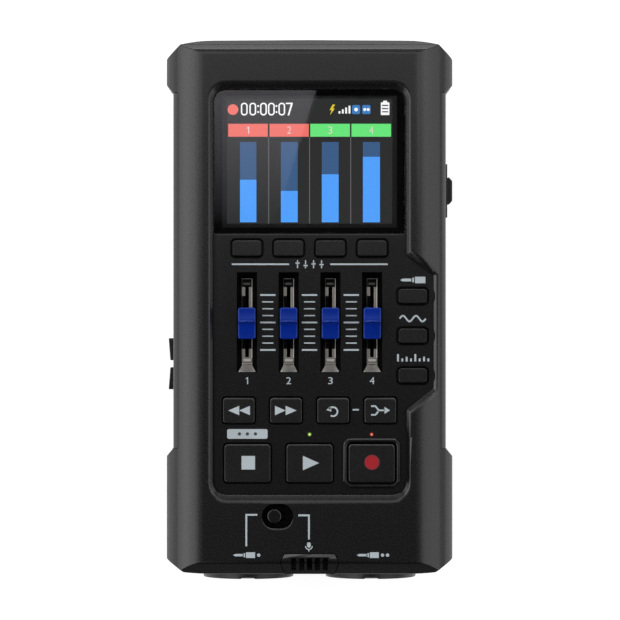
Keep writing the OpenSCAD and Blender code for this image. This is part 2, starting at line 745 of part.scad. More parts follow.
module front_case() {
    color([0.13, 0.13, 0.14]) difference() {
        union() {
            difference() {
                intersection() {
                    case_solid();
                    box(-60, 60, -100, 100, split_z, front_z + 1);
                }
                cavity();
            }
            // screw bosses
            screw_bosses(split_z, front_z - 4.2);
            // thick places for the dish, the grille and the card cover
            box(pick_x - pick_travel / 2 - dish_r - 1.2, pick_x + pick_travel / 2 + dish_r + 1.2,
                pick_y - dish_r - 1.2, pick_y + dish_r + 1.2, pick_seat, front_z - 1);
            intersection() {
                case_solid();
                box(-grille_mid_hw - 1.4, grille_mid_hw + 1.4, y_low, y_low + grille_l + 1.8,
                    grille_low - 1.5, front_z);
            }
            box(body_hw - wall - 1, body_hw - 0.5, card_y - cover_l / 2 - 2.5,
                card_y + cover_l / 2 + 2.5, cover_low - 1.6, cover_low + cover_h + 1.6);
        }
        // sunken place of the control panel and the plate's pocket
        sunken();
        for (i = [-1:1])
            bar_z(ear_x + scallop_d - scallop_r, side_y + i * side_pitch, scallop_r, panel_z - 0.5, front_z);
        slab(panel_under - 1.6, panel_z) polygon(panel_outline(panel_lap + panel_gap));
        // screws
        for (x = [-screw_x, screw_x], y = screw_ys)
            bar_z(x, y, screw_r + fit, split_z - 1, split_z + 9);
        // input jacks
        for (x = [-jack_x, jack_x])
            bar_y(x, jack_z, barrel_r + jack_gap, y_low - 2, y_low + end_wall + 1);
        // input select switch
        dish();
        box(pick_x - pick_travel / 2 - pick_stem / 2 - 0.4,
            pick_x + pick_travel / 2 + pick_stem / 2 + 0.4,
            pick_y - pick_stem / 2 - 0.4, pick_y + pick_stem / 2 + 0.4, pick_seat - 1, pick_floor + 1);
        // microphone grille
        slab(grille_low, front_z + 1) grille_outline(grille_gap);
        // power switch
        box(body_hw - 1, body_hw + 3, power_y - bezel_l / 2 - fit, power_y + bezel_l / 2 + fit,
            side_z - bezel_h / 2 - fit, side_z + bezel_h / 2 + fit);
        box(body_hw - wall - 1, body_hw,
            power_y - power_slot_l / 2 - 0.5, power_y + power_slot_l / 2 + 0.5,
            side_z - power_slot_h / 2 - 0.4, side_z + power_slot_h / 2 + 0.4);
        // volume buttons
        for (s = [-1, 1])
            box(-body_hw - 1, -body_hw + wall + 1,
                volume_y + s * (volume_gap + volume_l) / 2 - volume_l / 2 - 0.3,
                volume_y + s * (volume_gap + volume_l) / 2 + volume_l / 2 + 0.3,
                side_z - volume_h / 2 - 0.3, side_z + volume_h / 2 + 0.3);
        // headphone and line-out jacks
        for (y = [phones_y, line_y])
            bar_x(y, mini_z, mini_nose_r + 0.1, -body_hw - 1, -body_hw + wall + 1);
        // USB port
        box(body_hw - wall - 1, body_hw + 1, usb_y - 3.1, usb_y + 3.1, usb_z - 1.75, usb_z + 1.75);
        for (s = [-1, 1])
            bar_x(usb_y + s * 3.1, usb_z, 1.75, body_hw - wall - 1, body_hw + 1);
        // memory card and its cover
        cover_pocket();
        box(body_hw - wall - 2, body_hw, card_y - card_w / 2 - 0.6, card_y + card_w / 2 + 0.6,
            card_z - card_t / 2 - 0.55, card_z + card_t / 2 + 0.55);
        bar_y(hinge_x, hinge_z, hinge_r + 0.02, card_y - cover_l / 2 - 1.6, card_y + cover_l / 2 + 1.6);
    }
}

rail_w = 3.2;
tongue_z = back_z + door_t - 1;

module rear_case() {
    color([0.13, 0.13, 0.14]) difference() {
        union() {
            difference() {
                intersection() {
                    case_solid();
                    box(-60, 60, -100, 100, 0, split_z);
                }
                cavity();
            }
            // battery bay and the door's rails
            box(-bay_hw - 1.4, bay_hw + 1.4, bay_y[0] - 1.4, bay_y[1] + 1.4, back_z + 1, bay_z + 1.4);
            for (s = [-1, 1])
                box(min(s * (door_hw - 1), s * (door_hw + rail_w)),
                    max(s * (door_hw - 1), s * (door_hw + rail_w)),
                    door_y - 2, y_top - end_wall + 0.5, back_z + 1, back_z + door_t + 2.4);
            box(-door_hw - 1, door_hw + 1, door_y - 2, bay_y[0] - 1, back_z + 1, back_z + door_t + 2.4);
            // screw bosses
            screw_bosses(back_z + 1, split_z);
            // posts of the input board
            for (s = [-1, 1], y = [input_board_y[0] + 3.8, input_board_y[1] - 3])
                bar_z(s * (input_board_hw - 4), y, 2.5, back_z + 1, input_board_low - fit);
            // tabs that line up the two halves
            for (s = [-1, 1], y = [volume_y + 8.2, power_y + 7.9]) {
                box(min(s * (body_hw - wall - 1.4), s * (body_hw - wall - 0.15)),
                    max(s * (body_hw - wall - 1.4), s * (body_hw - wall - 0.15)),
                    y - 8, y + 8, split_z - 3, split_z + 1.2);
                box(min(s * (body_hw - wall - 1.4), s * (body_hw - wall + 0.4)),
                    max(s * (body_hw - wall - 1.4), s * (body_hw - wall + 0.4)),
                    y - 8, y + 8, split_z - 3, split_z - 0.2);
            }
        }
        // room for the cells
        box(-bay_hw, bay_hw, bay_y[0], bay_y[1], back_z - 1, bay_z);
        // the door and its tongues
        box(-door_hw - door_gap, door_hw + door_gap, door_y - door_gap, y_top + 5,
            back_z - 1, back_z + door_t + door_gap);
        box(-door_hw - tongue_w - door_gap, door_hw + tongue_w + door_gap, door_y + 4 - door_gap, y_top + 5,
            tongue_z - door_gap, back_z + door_t + door_gap);
        // screws
        for (x = [-screw_x, screw_x], y = screw_ys) {
            bar_z(x, y, screw_r + 0.15, back_z - 1, split_z + 1);
            bar_z(x, y, screw_head_r + 0.2, back_z - 1, back_z + 6);
        }
        // input jacks
        for (x = [-jack_x, jack_x])
            bar_y(x, jack_z, barrel_r + jack_gap, y_low - 2, y_low + end_wall + 1);
    }
}

module control_panel() {
    color([0.07, 0.07, 0.08]) {
        difference() {
            union() {
                slab(panel_under, panel_z) polygon(panel_outline(panel_lap));
                // raised ring round the record key, its outer edge cut
                loft([at_height(ring_outer(0), panel_z - 0.1), at_height(ring_outer(0), ring_top - ring_bevel_z),
                    at_height(ring_outer(-ring_bevel), ring_top)]);
                // posts of the main board
                for (p = post_xy)
                    bar_z(p.x, p.y, post_r, board_top + fit, panel_under + 0.1);
            }
            // seat and window of the lens
            slab(lens_floor, panel_z + 1) translate([0, lens_y]) polygon(lens_outline(lens_gap));
            box(-window_w / 2, window_w / 2, lens_y - window_l / 2, lens_y + window_l / 2,
                panel_under - 1, panel_z + 1);
            // fader slots
            for (x = fader_xs)
                translate([x, 0, 0]) along_y(fader_y - slot_l / 2, fader_y + slot_l / 2) slot_shape(0);
            // key holes
            for (k = KEYS)
                translate([k[1], k[2], 0]) slab(panel_under - 1, panel_z + 0.01)
                    polygon(rounded(rect(k[3] + 2 * key_gap, k[4] + 2 * key_gap),
                        [1, 1, 1, 1] * (k[5] + key_gap)));
            // inside of the ring, its edge cut too
            loft([at_height(ring_inner(0), panel_z - 0.02), at_height(ring_inner(0), ring_top - ring_bevel_z),
                at_height(ring_inner(1.2 * ring_bevel), ring_top + 0.2 * ring_bevel_z),
                at_height(ring_inner(1.2 * ring_bevel), ring_top + 1)]);
            // cut edge of the lens seat, towards the soft keys
            along_x(-lens_w / 2 + 0.6, lens_w / 2 - 0.6)
                polygon([[seat_y - seat_bevel, panel_z + 0.01], [seat_y + 0.2, panel_z - seat_bevel_z],
                    [seat_y + 0.2, panel_z + 0.01]]);
            // status lights
            for (x = [0, large_pitch])
                bar_z(x, led_y, led_r + fit, panel_under - 1, panel_z + 1);
            // board screws
            for (p = post_xy)
                bar_z(p.x, p.y, 1 + fit, board_top - 1, board_top + 4.5);
        }
        // slopes at the screen end of the fader slots
        for (x = fader_xs)
            translate([x, 0, 0]) slot_slope();
    }
}

// Slope between a fader slot's screen end and its frame
module slot_slope() {
    y1 = fader_y + slot_l / 2;
    intersection() {
        along_y(y1 - ramp_top - 1, y1 + 0.4) slot_shape(-0.1);
        along_x(-slot_w, slot_w) polygon([[y1 - ramp_top, panel_under], [y1 + 0.3, panel_under],
            [y1 + 0.3, panel_z], [y1, panel_z]]);
    }
}

// Outline g outside the record key, its jack-end corners cut by c and the others rounded to r
function ring_outline(g, c, r) =
    let (hw = large_w / 2 + g, hl = large_l / 2 + g)
    [for (p = rounded([[c - hw, -hl], [hw - c, -hl], [hw, c - hl], [hw, hl], [-hw, hl], [-hw, c - hl]],
        [0.4, 0.4, 0.4, r, r, 0.4])) p + [large_pitch, large_y]];

ring_top = panel_z + ring_h;

function ring_outer(g) = ring_outline(ring_w + ring_gap + key_gap + g, ring_cut + 0.6 * g, ring_r + g);

function ring_inner(g) = ring_outline(ring_gap + key_gap + g, ring_cut - ring_w + 0.6 * g, ring_r - 0.7 + g);

// Cross section of a fader slot, drawn in by g
module slot_shape(g) {
    k = (slot_w - slot_in_w) / 2 / panel_t;
    polygon([[-slot_in_w / 2 + g + k, panel_under - 1], [slot_in_w / 2 - g - k, panel_under - 1],
        [slot_in_w / 2 - g, panel_under], [slot_w / 2 - g, panel_z], [slot_w / 2 - g + k, panel_z + 1],
        [-slot_w / 2 + g - k, panel_z + 1], [-slot_w / 2 + g, panel_z], [-slot_in_w / 2 + g, panel_under]]);
}

function lens_outline(g) =
    rounded(rect(lens_w + 2 * g, lens_l + 2 * g), [0.6 + g, 0.6 + g, 3.4 + g, 3.4 + g]);

module display_lens() {
    color([0.05, 0.05, 0.06]) slab(lens_floor + 0.02, panel_z + 0.05)
        translate([0, lens_y]) polygon(lens_outline(0));
}

module lcd_module() {
    color([0.3, 0.32, 0.35])
        box(-lcd_w / 2, lcd_w / 2, lens_y - lcd_l / 2, lens_y + lcd_l / 2, lcd_top - lcd_t, lcd_top);
}

module main_board() {
    color([0.05, 0.3, 0.16]) difference() {
        union() {
            box(-board_hw, board_hw, board_step_y, board_y[1], board_low, board_top);
            box(-board_neck_hw, board_neck_hw, board_y[0], board_step_y + 0.5, board_low, board_top);
        }
        for (p = post_xy)
            bar_z(p.x, p.y, 1.2, board_low - 1, board_top + 1);
    }
}

module input_board() {
    color([0.05, 0.3, 0.16])
        box(-input_board_hw, input_board_hw, input_board_y[0], input_board_y[1],
            input_board_low, input_board_top);
}

module tact_switches() {
    color([0.25, 0.25, 0.26]) for (k = KEYS) {
        union() {
            box(k[1] - 1.9, k[1] + 1.9, k[2] - 1.9, k[2] + 1.9, board_top, switch_top - 0.8);
            bar_z(k[1], k[2], 1.1, switch_top - 1, switch_top);
        }
    }
}

module key(k) {
    color([0.16, 0.16, 0.17]) translate([k[1], k[2], 0]) {
        slab(key_seat - 0.1, k[6]) polygon(rounded(rect(k[3], k[4]), [1, 1, 1, 1] * k[5]));
        slab(key_seat - key_flange_t, key_seat)
            polygon(rounded(rect(k[3] + 2 * key_flange, k[4] + 2 * key_flange), [1, 1, 1, 1] * k[5]));
        bar_z(0, 0, 1.3, stem_low, key_seat - 0.1);
    }
}

// Side view of a fader knob: a high part that dips a little, a ridge and a lower part
module knob_shape() {
    low = -knob_l / 2 - 0.3;
    top = knob_l / 2 - 0.3;
    shelf = knob_top - knob_step;
    dip = 0.06;
    polygon(concat(
        [[low, knob_low], [top, knob_low]],
        [for (i = [0:6]) let (k = i / 6)
            [top + (0.3 - top) * k, knob_top - dip * sin(180 * k) - 0.2 * (1 - k)]],
        [[0.1, knob_top - 0.3]],
        [for (i = [0:5]) let (k = i / 5)
            [-0.5 + (low + 0.5) * k, shelf + dip * (2 * k - 1) * (2 * k - 1) - dip]]));
}

module fader_knob(i) {
    color([0.06, 0.14, 0.55]) translate([fader_xs[i], fader_y, 0]) difference() {
        intersection() {
            along_x(-knob_w / 2, knob_w / 2) knob_shape();
            slab(knob_low - 1, knob_top + 1) translate([0, -0.3])
                polygon(rounded(rect(knob_w, knob_l), [1, 1, 1, 1] * knob_corner));
        }
        box(-lever_t / 2 - fit, lever_t / 2 + fit, -lever_l / 2 - fit, lever_l / 2 + fit,
            knob_low - 1, knob_low + 1.3 + fit);
    }
}

module fader_lever(i) {
    color([0.6, 0.6, 0.62]) translate([fader_xs[i], fader_y, 0])
        box(-lever_t / 2, lever_t / 2, -lever_l / 2, lever_l / 2, lever_low, knob_low + 1.3);
}

module fader_frame(x) {
    y0 = fader_y - slot_l / 2;
    y1 = fader_y + slot_l / 2;
    translate([x, 0, 0]) {
        difference() {
            box(-frame_w / 2, frame_w / 2, y0 - 1, y1 + 1, board_top, frame_top);
            box(-frame_slot_w / 2, frame_slot_w / 2, fader_y - frame_slot_l / 2, fader_y + frame_slot_l / 2,
                lever_low - 0.4, frame_top + 1);
        }
        intersection() {
            along_y(y0 + 0.1, y1 - 0.1) slot_shape(0.12);
            along_x(-frame_w, frame_w) polygon([[y0, frame_top - 0.5], [y0 + ramp_low, frame_top - 0.5],
                [y0 + ramp_low, frame_top], [y0, panel_z - 0.25]]);
        }
        // small step before that slope
        step_y = y0 + ramp_low + 0.5;
        along_x(-slot_in_w / 2 + 0.3, slot_in_w / 2 - 0.3)
            polygon([[step_y, frame_top - 0.5], [step_y + step_run, frame_top - 0.5],
                [step_y + step_run, frame_top], [step_y, frame_top + step_h]]);
    }
}

module fader_frames() {
    color([0.62, 0.6, 0.56]) for (x = fader_xs)
        fader_frame(x);
}

module input_switch_knob() {
    color([0.14, 0.14, 0.15]) translate([pick_x - pick_travel / 2, pick_y, 0]) {
        bar_z(0, 0, pick_r, pick_floor + 0.4, front_z - 0.3);
        box(-pick_stem / 2, pick_stem / 2, -pick_stem / 2, pick_stem / 2, pick_seat - 2.2, pick_floor + 0.5);
    }
}

module input_switch_body() {
    hx = pick_travel / 2 + pick_stem / 2 + 0.4;
    hy = pick_stem / 2 + 0.4;
    color([0.55, 0.55, 0.57]) difference() {
        box(pick_x - hx - 2.4, pick_x + hx + 2.4, pick_y - hy - 1.45, pick_y + hy + 1.45,
            pick_seat - 4, pick_seat - fit);
        box(pick_x - hx, pick_x + hx, pick_y - hy, pick_y + hy, pick_seat - 2.7, pick_seat + 1);
    }
}

module power_switch_knob() {
    face = body_hw + bezel_proud + 0.3;
    tip = body_hw + power_proud;
    color([0.14, 0.14, 0.15]) {
        slab(side_z - 2.2, side_z + 2.2) translate([0, power_y])
            polygon([[face, -power_l / 2], [face + 0.3, -power_l / 2], [tip, -power_l / 2 + 1.1],
                [tip, power_l / 2 - 1.1], [face + 0.3, power_l / 2], [face, power_l / 2]]);
        box(body_hw - 5, face + 0.2, power_y - power_stem_l / 2, power_y + power_stem_l / 2,
            side_z - power_stem_h / 2, side_z + power_stem_h / 2);
    }
}

module power_switch_body() {
    color([0.3, 0.3, 0.32]) difference() {
        box(body_hw - wall - 8.1, body_hw - wall - 0.4, power_y - power_slot_l / 2 - 2.1,
            power_y + power_slot_l / 2 + 2.1, side_z - 3, board_low - fit);
        box(body_hw - 5.5, body_hw, power_y - power_slot_l / 2, power_y + power_slot_l / 2,
            side_z - power_slot_h / 2, side_z + power_slot_h / 2);
    }
}

module power_switch_bezel() {
    color([0.12, 0.12, 0.13]) difference() {
        box(body_hw - 1 + fit, body_hw + bezel_proud, power_y - bezel_l / 2, power_y + bezel_l / 2,
            side_z - bezel_h / 2, side_z + bezel_h / 2);
        box(body_hw - 3, body_hw + 3, power_y - power_slot_l / 2, power_y + power_slot_l / 2,
            side_z - power_slot_h / 2, side_z + power_slot_h / 2);
    }
}

volume_flange_x = -body_hw + wall + 0.1;

// One volume button; s is 1 for the one nearer the screen
module volume_button(s) {
    mid = volume_y + s * (volume_gap + volume_l) / 2;
    far = mid + s * volume_l / 2;
    near = mid - s * volume_l / 2;
    color([0.14, 0.14, 0.15]) {
        slab(side_z - volume_h / 2, side_z + volume_h / 2)
            polygon([[volume_flange_x + 0.2, near], [-body_hw - volume_proud + 0.5, near],
                [-body_hw - volume_proud, far], [volume_flange_x + 0.2, far]]);
        box(volume_flange_x, volume_flange_x + 0.8, mid - volume_l / 2 - 0.8, mid + volume_l / 2 + 0.8,
            side_z - volume_h / 2 - 0.8, side_z + volume_h / 2 + 0.8);
    }
}

module volume_switches() {
    x = volume_flange_x + 0.8 + volume_travel + 0.2;
    color([0.3, 0.3, 0.32]) for (s = [-1, 1])
        box(x, x + 4.5, volume_y + s * (volume_gap + volume_l) / 2 - 2.5,
            volume_y + s * (volume_gap + volume_l) / 2 + 2.5, side_z - 2.5, board_low - fit);
}

module input_housing(s) {
    x = s * jack_x;
    color([0.08, 0.08, 0.09]) difference() {
        union() {
            bar_y(x, jack_z, rim_r, jack_end, y_low - 0.02);
            bar_y(x, jack_z, barrel_r, jack_end + 0.1, jack_back);
            bar_y(x, jack_z, barrel_r + 1.3, y_low + end_wall + 0.1, y_low + end_wall + 1.7);
            box(x - 9, x + 9, y_low + end_wall + 3, jack_back - 2, input_board_top + fit, jack_z - 8);
        }
        bar_y(x, jack_z, ring_bore_r, jack_end - 1, jack_back - 2);
        // notch in the front of the rim
        box(x - 1.9, x + 1.9, jack_end - 1, jack_end + 0.45, jack_z + ring_bore_r + 1.4, jack_z + rim_r + 1);
    }
}

module input_insert(s) {
    x = s * jack_x;
    color([0.05, 0.05, 0.05]) difference() {
        bar_y(x, jack_z, insert_r, insert_face, jack_back - 2);
        bar_y(x, jack_z, plug_r, insert_face - 1, insert_face + plug_depth);
        for (a = [210, 330, 90])
            bar_y(x + pin_circle_r * cos(a), jack_z + pin_circle_r * sin(a), pin_r,
                insert_face - 1, insert_face + 14);
    }
}

module mic_grille() {
    slot_mid = y_low + grille_l / 2 - 0.08;
    color([0.11, 0.11, 0.12]) difference() {
        intersection() {
            case_solid();
            slab(grille_low + 0.05, front_z + 1) grille_outline(0);
        }
        box(-6, 6, y_low + 1.6, y_low + grille_l - 1.2, grille_low - 1, front_z - 3.2);
        for (i = [-2:2])
            box(i * grille_pitch - grille_slot_w / 2, i * grille_pitch + grille_slot_w / 2,
                slot_mid - grille_slot_l / 2, slot_mid + grille_slot_l / 2, front_z - 4.5, front_z + 1);
    }
}

module mic_capsule() {
    color([0.7, 0.7, 0.72])
        bar_z(0, y_low + (grille_l + 0.4) / 2, 1.5, grille_low + 0.02, grille_low + 2.6);
}

module mini_jack(y) {
    nose = -body_hw + 0.15;
    inner = -body_hw + wall + 0.1;
    color([0.06, 0.06, 0.07]) difference() {
        union() {
            bar_x(y, mini_z, mini_nose_r, nose, inner + 1);
            box(inner, inner + 11, y - 3.1, y + 3.1, mini_z - 3, board_low - fit);
        }
        bar_x(y, mini_z, mini_r, nose - 1, nose + 11.5);
    }
}

module usb_port() {
    x1 = body_hw - 0.6;
    color([0.7, 0.71, 0.73]) difference() {
        union() {
            box(x1 - 8, x1, usb_y - 2.97, usb_y + 2.97, usb_z - 1.5, usb_z + 1.5);
            for (s = [-1, 1])
                bar_x(usb_y + s * 2.97, usb_z, 1.5, x1 - 8, x1);
            box(x1 - 8, x1 - 4, usb_y - 3, usb_y + 3, usb_z, board_low - fit);
        }
        difference() {
            union() {
                box(x1 - 7, x1 + 1, usb_y - 2.97, usb_y + 2.97, usb_z - 1.2, usb_z + 1.2);
                for (s = [-1, 1])
                    bar_x(usb_y + s * 2.97, usb_z, 1.2, x1 - 7, x1 + 1);
            }
            box(x1 - 8, x1 - 0.8, usb_y - 3.3, usb_y + 3.3, usb_z - 0.35, usb_z + 0.35);
        }
    }
}

card_w = 11;
card_l = 15;
card_t = 0.9;
card_out = body_hw - wall - 0.9;

module card_socket() {
    color([0.7, 0.71, 0.73]) difference() {
        box(card_out - card_l - 1, card_out - 1.6, card_y - card_w / 2 - 1.5, card_y + card_w / 2 + 1.5,
            card_z - card_t, board_low - fit);
        box(card_out - card_l - 0.2, card_out, card_y - card_w / 2 - fit, card_y + card_w / 2 + fit,
            card_z - card_t / 2 - fit, card_z + card_t / 2 + fit);
    }
}

module memory_card() {
    color([0.05, 0.05, 0.06])
        box(card_out - card_l, card_out, card_y - card_w / 2, card_y + card_w / 2,
            card_z - card_t / 2, card_z + card_t / 2);
}

module card_door() {
    color([0.13, 0.13, 0.14]) difference() {
        union() {
            box(body_hw - cover_t, body_hw, card_y - cover_l / 2, card_y + cover_l / 2,
                hinge_z, cover_low + cover_h);
            bar_y(hinge_x, hinge_z, 2 * hinge_r, card_y - cover_l / 2, card_y + cover_l / 2);
        }
        bar_y(hinge_x, hinge_z, hinge_r + 0.05, card_y - cover_l, card_y + cover_l);
        // finger groove
        bar_y(body_hw + 0.5, cover_low + cover_h - 0.9, 0.9, card_y - 3, card_y + 3);
    }
}

module card_door_pin() {
    color([0.75, 0.76, 0.78])
        bar_y(hinge_x, hinge_z, hinge_r, card_y - cover_l / 2 - 1.5, card_y + cover_l / 2 + 1.5);
}

module battery_door() {
    color([0.13, 0.13, 0.14]) difference() {
        union() {
            intersection() {
                case_solid();
                box(-door_hw, door_hw, door_y, y_top + 1, back_z, back_z + door_t);
            }
            intersection() {
                case_solid();
                box(-door_hw - tongue_w, door_hw + tongue_w, door_y + 4, y_top - 0.6,
                    tongue_z, back_z + door_t);
            }
        }
        // finger ridges
        for (i = [0:4])
            box(-8 + i, 8 - i, door_y + 6 + 2 * i, door_y + 7 + 2 * i, back_z - 1, back_z + 0.5);
    }
}

module batteries() {
    y0 = bay_y[0] + contact_l;
    color([0.2, 0.35, 0.55]) for (i = [0:cells - 1]) {
        x = (i - (cells - 1) / 2) * cell_pitch;
        up = i % 2 == 0;
        union() {
            bar_y(x, cell_z, cell_r, up ? y0 : y0 + 1.3, (up ? y0 : y0 + 1.3) + cell_l);
            bar_y(x, cell_z, 2.7, up ? y0 + cell_l - 1 : y0, up ? y0 + cell_l + 1.3 : y0 + 2);
        }
    }
}

module battery_contacts() {
    color([0.75, 0.75, 0.72]) for (i = [0:cells - 1], e = [0, 1]) {
        x = (i - (cells - 1) / 2) * cell_pitch;
        y = e == 0 ? bay_y[0] + fit : bay_y[1] - fit;
        d = e == 0 ? 1 : -1;
        union() {
            box(x - contact_hw, x + contact_hw, min(y, y + d * 0.5), max(y, y + d * 0.5),
                cell_z - contact_hw, cell_z + contact_hw);
            bar_y(x, cell_z, contact_hw / 2, min(y, y + d * (contact_l - 2 * fit)),
                max(y, y + d * (contact_l - 2 * fit)));
        }
    }
}

module rubber_feet() {
    color([0.05, 0.05, 0.05]) for (s = [-1, 1], y = foot_ys)
        slab(0, back_z) translate([s * (body_hw - back_r - foot_w / 2 - 0.8), y])
            polygon(rounded(rect(foot_w, foot_l), [1, 1, 1, 1] * 1.6));
}

module case_screws() {
    color([0.3, 0.3, 0.32]) for (x = [-screw_x, screw_x], y = screw_ys) {
        difference() {
            union() {
                bar_z(x, y, screw_r, back_z + 6, split_z + 8.5);
                bar_z(x, y, screw_head_r, back_z + 4.2, back_z + 6 - 0.02);
                bar_z(x, y, screw_r, back_z + 5, back_z + 7);
            }
            box(x - 1.5, x + 1.5, y - 0.3, y + 0.3, back_z + 4, back_z + 5);
            box(x - 0.3, x + 0.3, y - 1.5, y + 1.5, back_z + 4, back_z + 5);
        }
    }
}

module board_screws() {
    color([0.7, 0.7, 0.72]) for (p = post_xy) {
        union() {
            bar_z(p.x, p.y, 1, board_low - 1, board_top + 4);
            bar_z(p.x, p.y, 1.9, board_low - 1.4, board_low - 0.02);
        }
    }
}

module status_leds() {
    color([0.6, 0.75, 0.3]) for (x = [0, large_pitch])
        bar_z(x, led_y, led_r, board_top + 0.02, panel_z + 0.1);
}

for (i = [0:len(KEYS) - 1])
    key(KEYS[i]);
front_case();
rear_case();
control_panel();
display_lens();
lcd_module();
main_board();
input_board();
tact_switches();
fader_knob(0);  // fader_knob_1
fader_knob(1);  // fader_knob_2
fader_knob(2);  // fader_knob_3
fader_knob(3);  // fader_knob_4
fader_lever(0);  // fader_lever_1
fader_lever(1);  // fader_lever_2
fader_lever(2);  // fader_lever_3
fader_lever(3);  // fader_lever_4
fader_frames();
input_switch_knob();
input_switch_body();
power_switch_knob();
power_switch_body();
power_switch_bezel();
volume_button(1);  // volume_up_button
volume_button(-1);  // volume_down_button
volume_switches();
input_housing(-1);  // input_a_housing
input_insert(-1);  // input_a_insert
input_housing(1);  // input_b_housing
input_insert(1);  // input_b_insert
mic_grille();
mic_capsule();
mini_jack(phones_y);  // phones_jack
mini_jack(line_y);  // line_out_jack
usb_port();
card_socket();
memory_card();
card_door();
card_door_pin();
battery_door();
batteries();
battery_contacts();
rubber_feet();
case_screws();
board_screws();
status_leds();
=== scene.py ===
"""Digital multitrack recorder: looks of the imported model.

Lengths are millimetres, and metres on the stage.
"""
import json
import math

import bmesh
import bpy
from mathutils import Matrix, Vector

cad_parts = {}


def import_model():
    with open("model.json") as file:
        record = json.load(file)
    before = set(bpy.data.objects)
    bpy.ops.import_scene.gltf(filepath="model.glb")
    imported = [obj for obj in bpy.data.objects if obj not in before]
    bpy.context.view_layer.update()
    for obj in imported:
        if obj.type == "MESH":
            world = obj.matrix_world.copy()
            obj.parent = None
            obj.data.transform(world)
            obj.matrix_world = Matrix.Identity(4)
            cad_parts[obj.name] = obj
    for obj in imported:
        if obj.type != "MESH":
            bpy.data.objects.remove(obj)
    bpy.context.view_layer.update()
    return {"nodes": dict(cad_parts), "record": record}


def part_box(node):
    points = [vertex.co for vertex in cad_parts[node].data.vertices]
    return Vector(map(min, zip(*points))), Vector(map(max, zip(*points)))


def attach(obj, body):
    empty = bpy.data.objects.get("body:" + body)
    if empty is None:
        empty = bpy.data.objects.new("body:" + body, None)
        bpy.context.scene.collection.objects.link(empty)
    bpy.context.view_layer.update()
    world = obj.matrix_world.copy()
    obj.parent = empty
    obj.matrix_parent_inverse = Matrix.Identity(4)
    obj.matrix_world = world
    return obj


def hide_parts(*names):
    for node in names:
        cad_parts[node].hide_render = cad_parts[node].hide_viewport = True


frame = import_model()
nodes = frame["nodes"]
MM = 0.001
SLOT_OF = {p["node"]: p["material_slot"] for p in frame["record"]["subparts"]}
BODY_OF = {n: b for b, ns in frame["record"]["behaviour"]["bodies"].items() for n in ns}
scene = bpy.context.scene
scene.view_settings.view_transform = "Standard"


def top_of(node):
    """Height of a node's highest point."""
    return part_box(node)[1][2] / MM


def srgb(r, g, b):
    """A colour given as on a screen, 0 to 255, as linear values."""
    def lin(c):
        c = c / 255
        return c / 12.92 if c <= 0.04045 else ((c + 0.055) / 1.055) ** 2.4
    return (lin(r), lin(g), lin(b))


# Materials

def plain(name, colour, rough, **sockets):
    """A material with its constants on the shader's own sockets."""
    m = bpy.data.materials.new(name)
    m.use_nodes = True
    p = m.node_tree.nodes["Principled BSDF"]
    p.inputs["Base Color"].default_value = (*colour, 1)
    p.inputs["Roughness"].default_value = rough
    for key, value in sockets.items():
        p.inputs[key.replace("_", " ")].default_value = value
    return m


def noise(tree, size, detail=3.0, rough=0.55):
    """Noise whose grains are about size across, in object space."""
    coord = tree.nodes.new("ShaderNodeTexCoord")
    n = tree.nodes.new("ShaderNodeTexNoise")
    n.inputs["Scale"].default_value = 1 / (size * MM)
    n.inputs["Detail"].default_value = detail
    n.inputs["Roughness"].default_value = rough
    tree.links.new(coord.outputs["Object"], n.inputs["Vector"])
    return n.outputs["Fac"]


def ramp(tree, fac, low, high, a, b):
    """A colour ramp between two places of fac."""
    r = tree.nodes.new("ShaderNodeValToRGB")
    r.color_ramp.elements[0].position = low
    r.color_ramp.elements[1].position = high
    r.color_ramp.elements[0].color = (*a, 1)
    r.color_ramp.elements[1].color = (*b, 1)
    tree.links.new(fac, r.inputs["Fac"])
    return r.outputs["Color"]


def spread(tree, fac, low, high, start=0.3, end=0.7):
    """fac stretched from start and end to low and high."""
    m = tree.nodes.new("ShaderNodeMapRange")
    m.inputs["From Min"].default_value = start
    m.inputs["From Max"].default_value = end
    m.inputs["To Min"].default_value = low
    m.inputs["To Max"].default_value = high
    tree.links.new(fac, m.inputs["Value"])
    return m.outputs["Result"]


def uneven(tree, fac, colour, vary, start=0.35, end=0.65):
    """A colour that goes from darker to lighter by the share vary as fac rises."""
    dark = [c * (1 - vary) for c in colour]
    light = [c * (1 + vary) for c in colour]
    return ramp(tree, fac, start, end, dark, light)


def axis(tree, space, name):
    """One axis of the place that is shaded."""
    coord = tree.nodes.new("ShaderNodeTexCoord")
    split = tree.nodes.new("ShaderNodeSeparateXYZ")
    tree.links.new(coord.outputs[space], split.inputs["Vector"])
    return split.outputs[name]


# size of the clouds in a plastic's colour, and how far a surface's roughness varies
CLOUD = 9.0
ROUGH_VARY = 0.03
# gloss left at a glancing angle, and where it starts and ends to fall
CALM_LEVEL = 0.05
CALM_AT = (0.3, 0.75)
# width of the marks on metal against their length, and how dark they are
MARK_STRETCH = 0.06
MARK_DARK = 0.93


def moulded(name, colour, rough, grain, depth, vary=0.12, **sockets):
    """Moulded plastic: a fine grain in the surface, cloudy colour and gloss."""
    m = plain(name, colour, rough, **sockets)
    t = m.node_tree
    p = t.nodes["Principled BSDF"]
    cloud = noise(t, CLOUD, 4.0)
    t.links.new(uneven(t, cloud, colour, vary), p.inputs["Base Color"])
    fine = noise(t, grain, 2.0)
    t.links.new(spread(t, fine, rough - ROUGH_VARY, rough + ROUGH_VARY), p.inputs["Roughness"])
    bump = t.nodes.new("ShaderNodeBump")
    bump.inputs["Strength"].default_value = 1.0
    bump.inputs["Distance"].default_value = depth * MM
    t.links.new(fine, bump.inputs["Height"])
    t.links.new(bump.outputs["Normal"], p.inputs["Normal"])
    return m


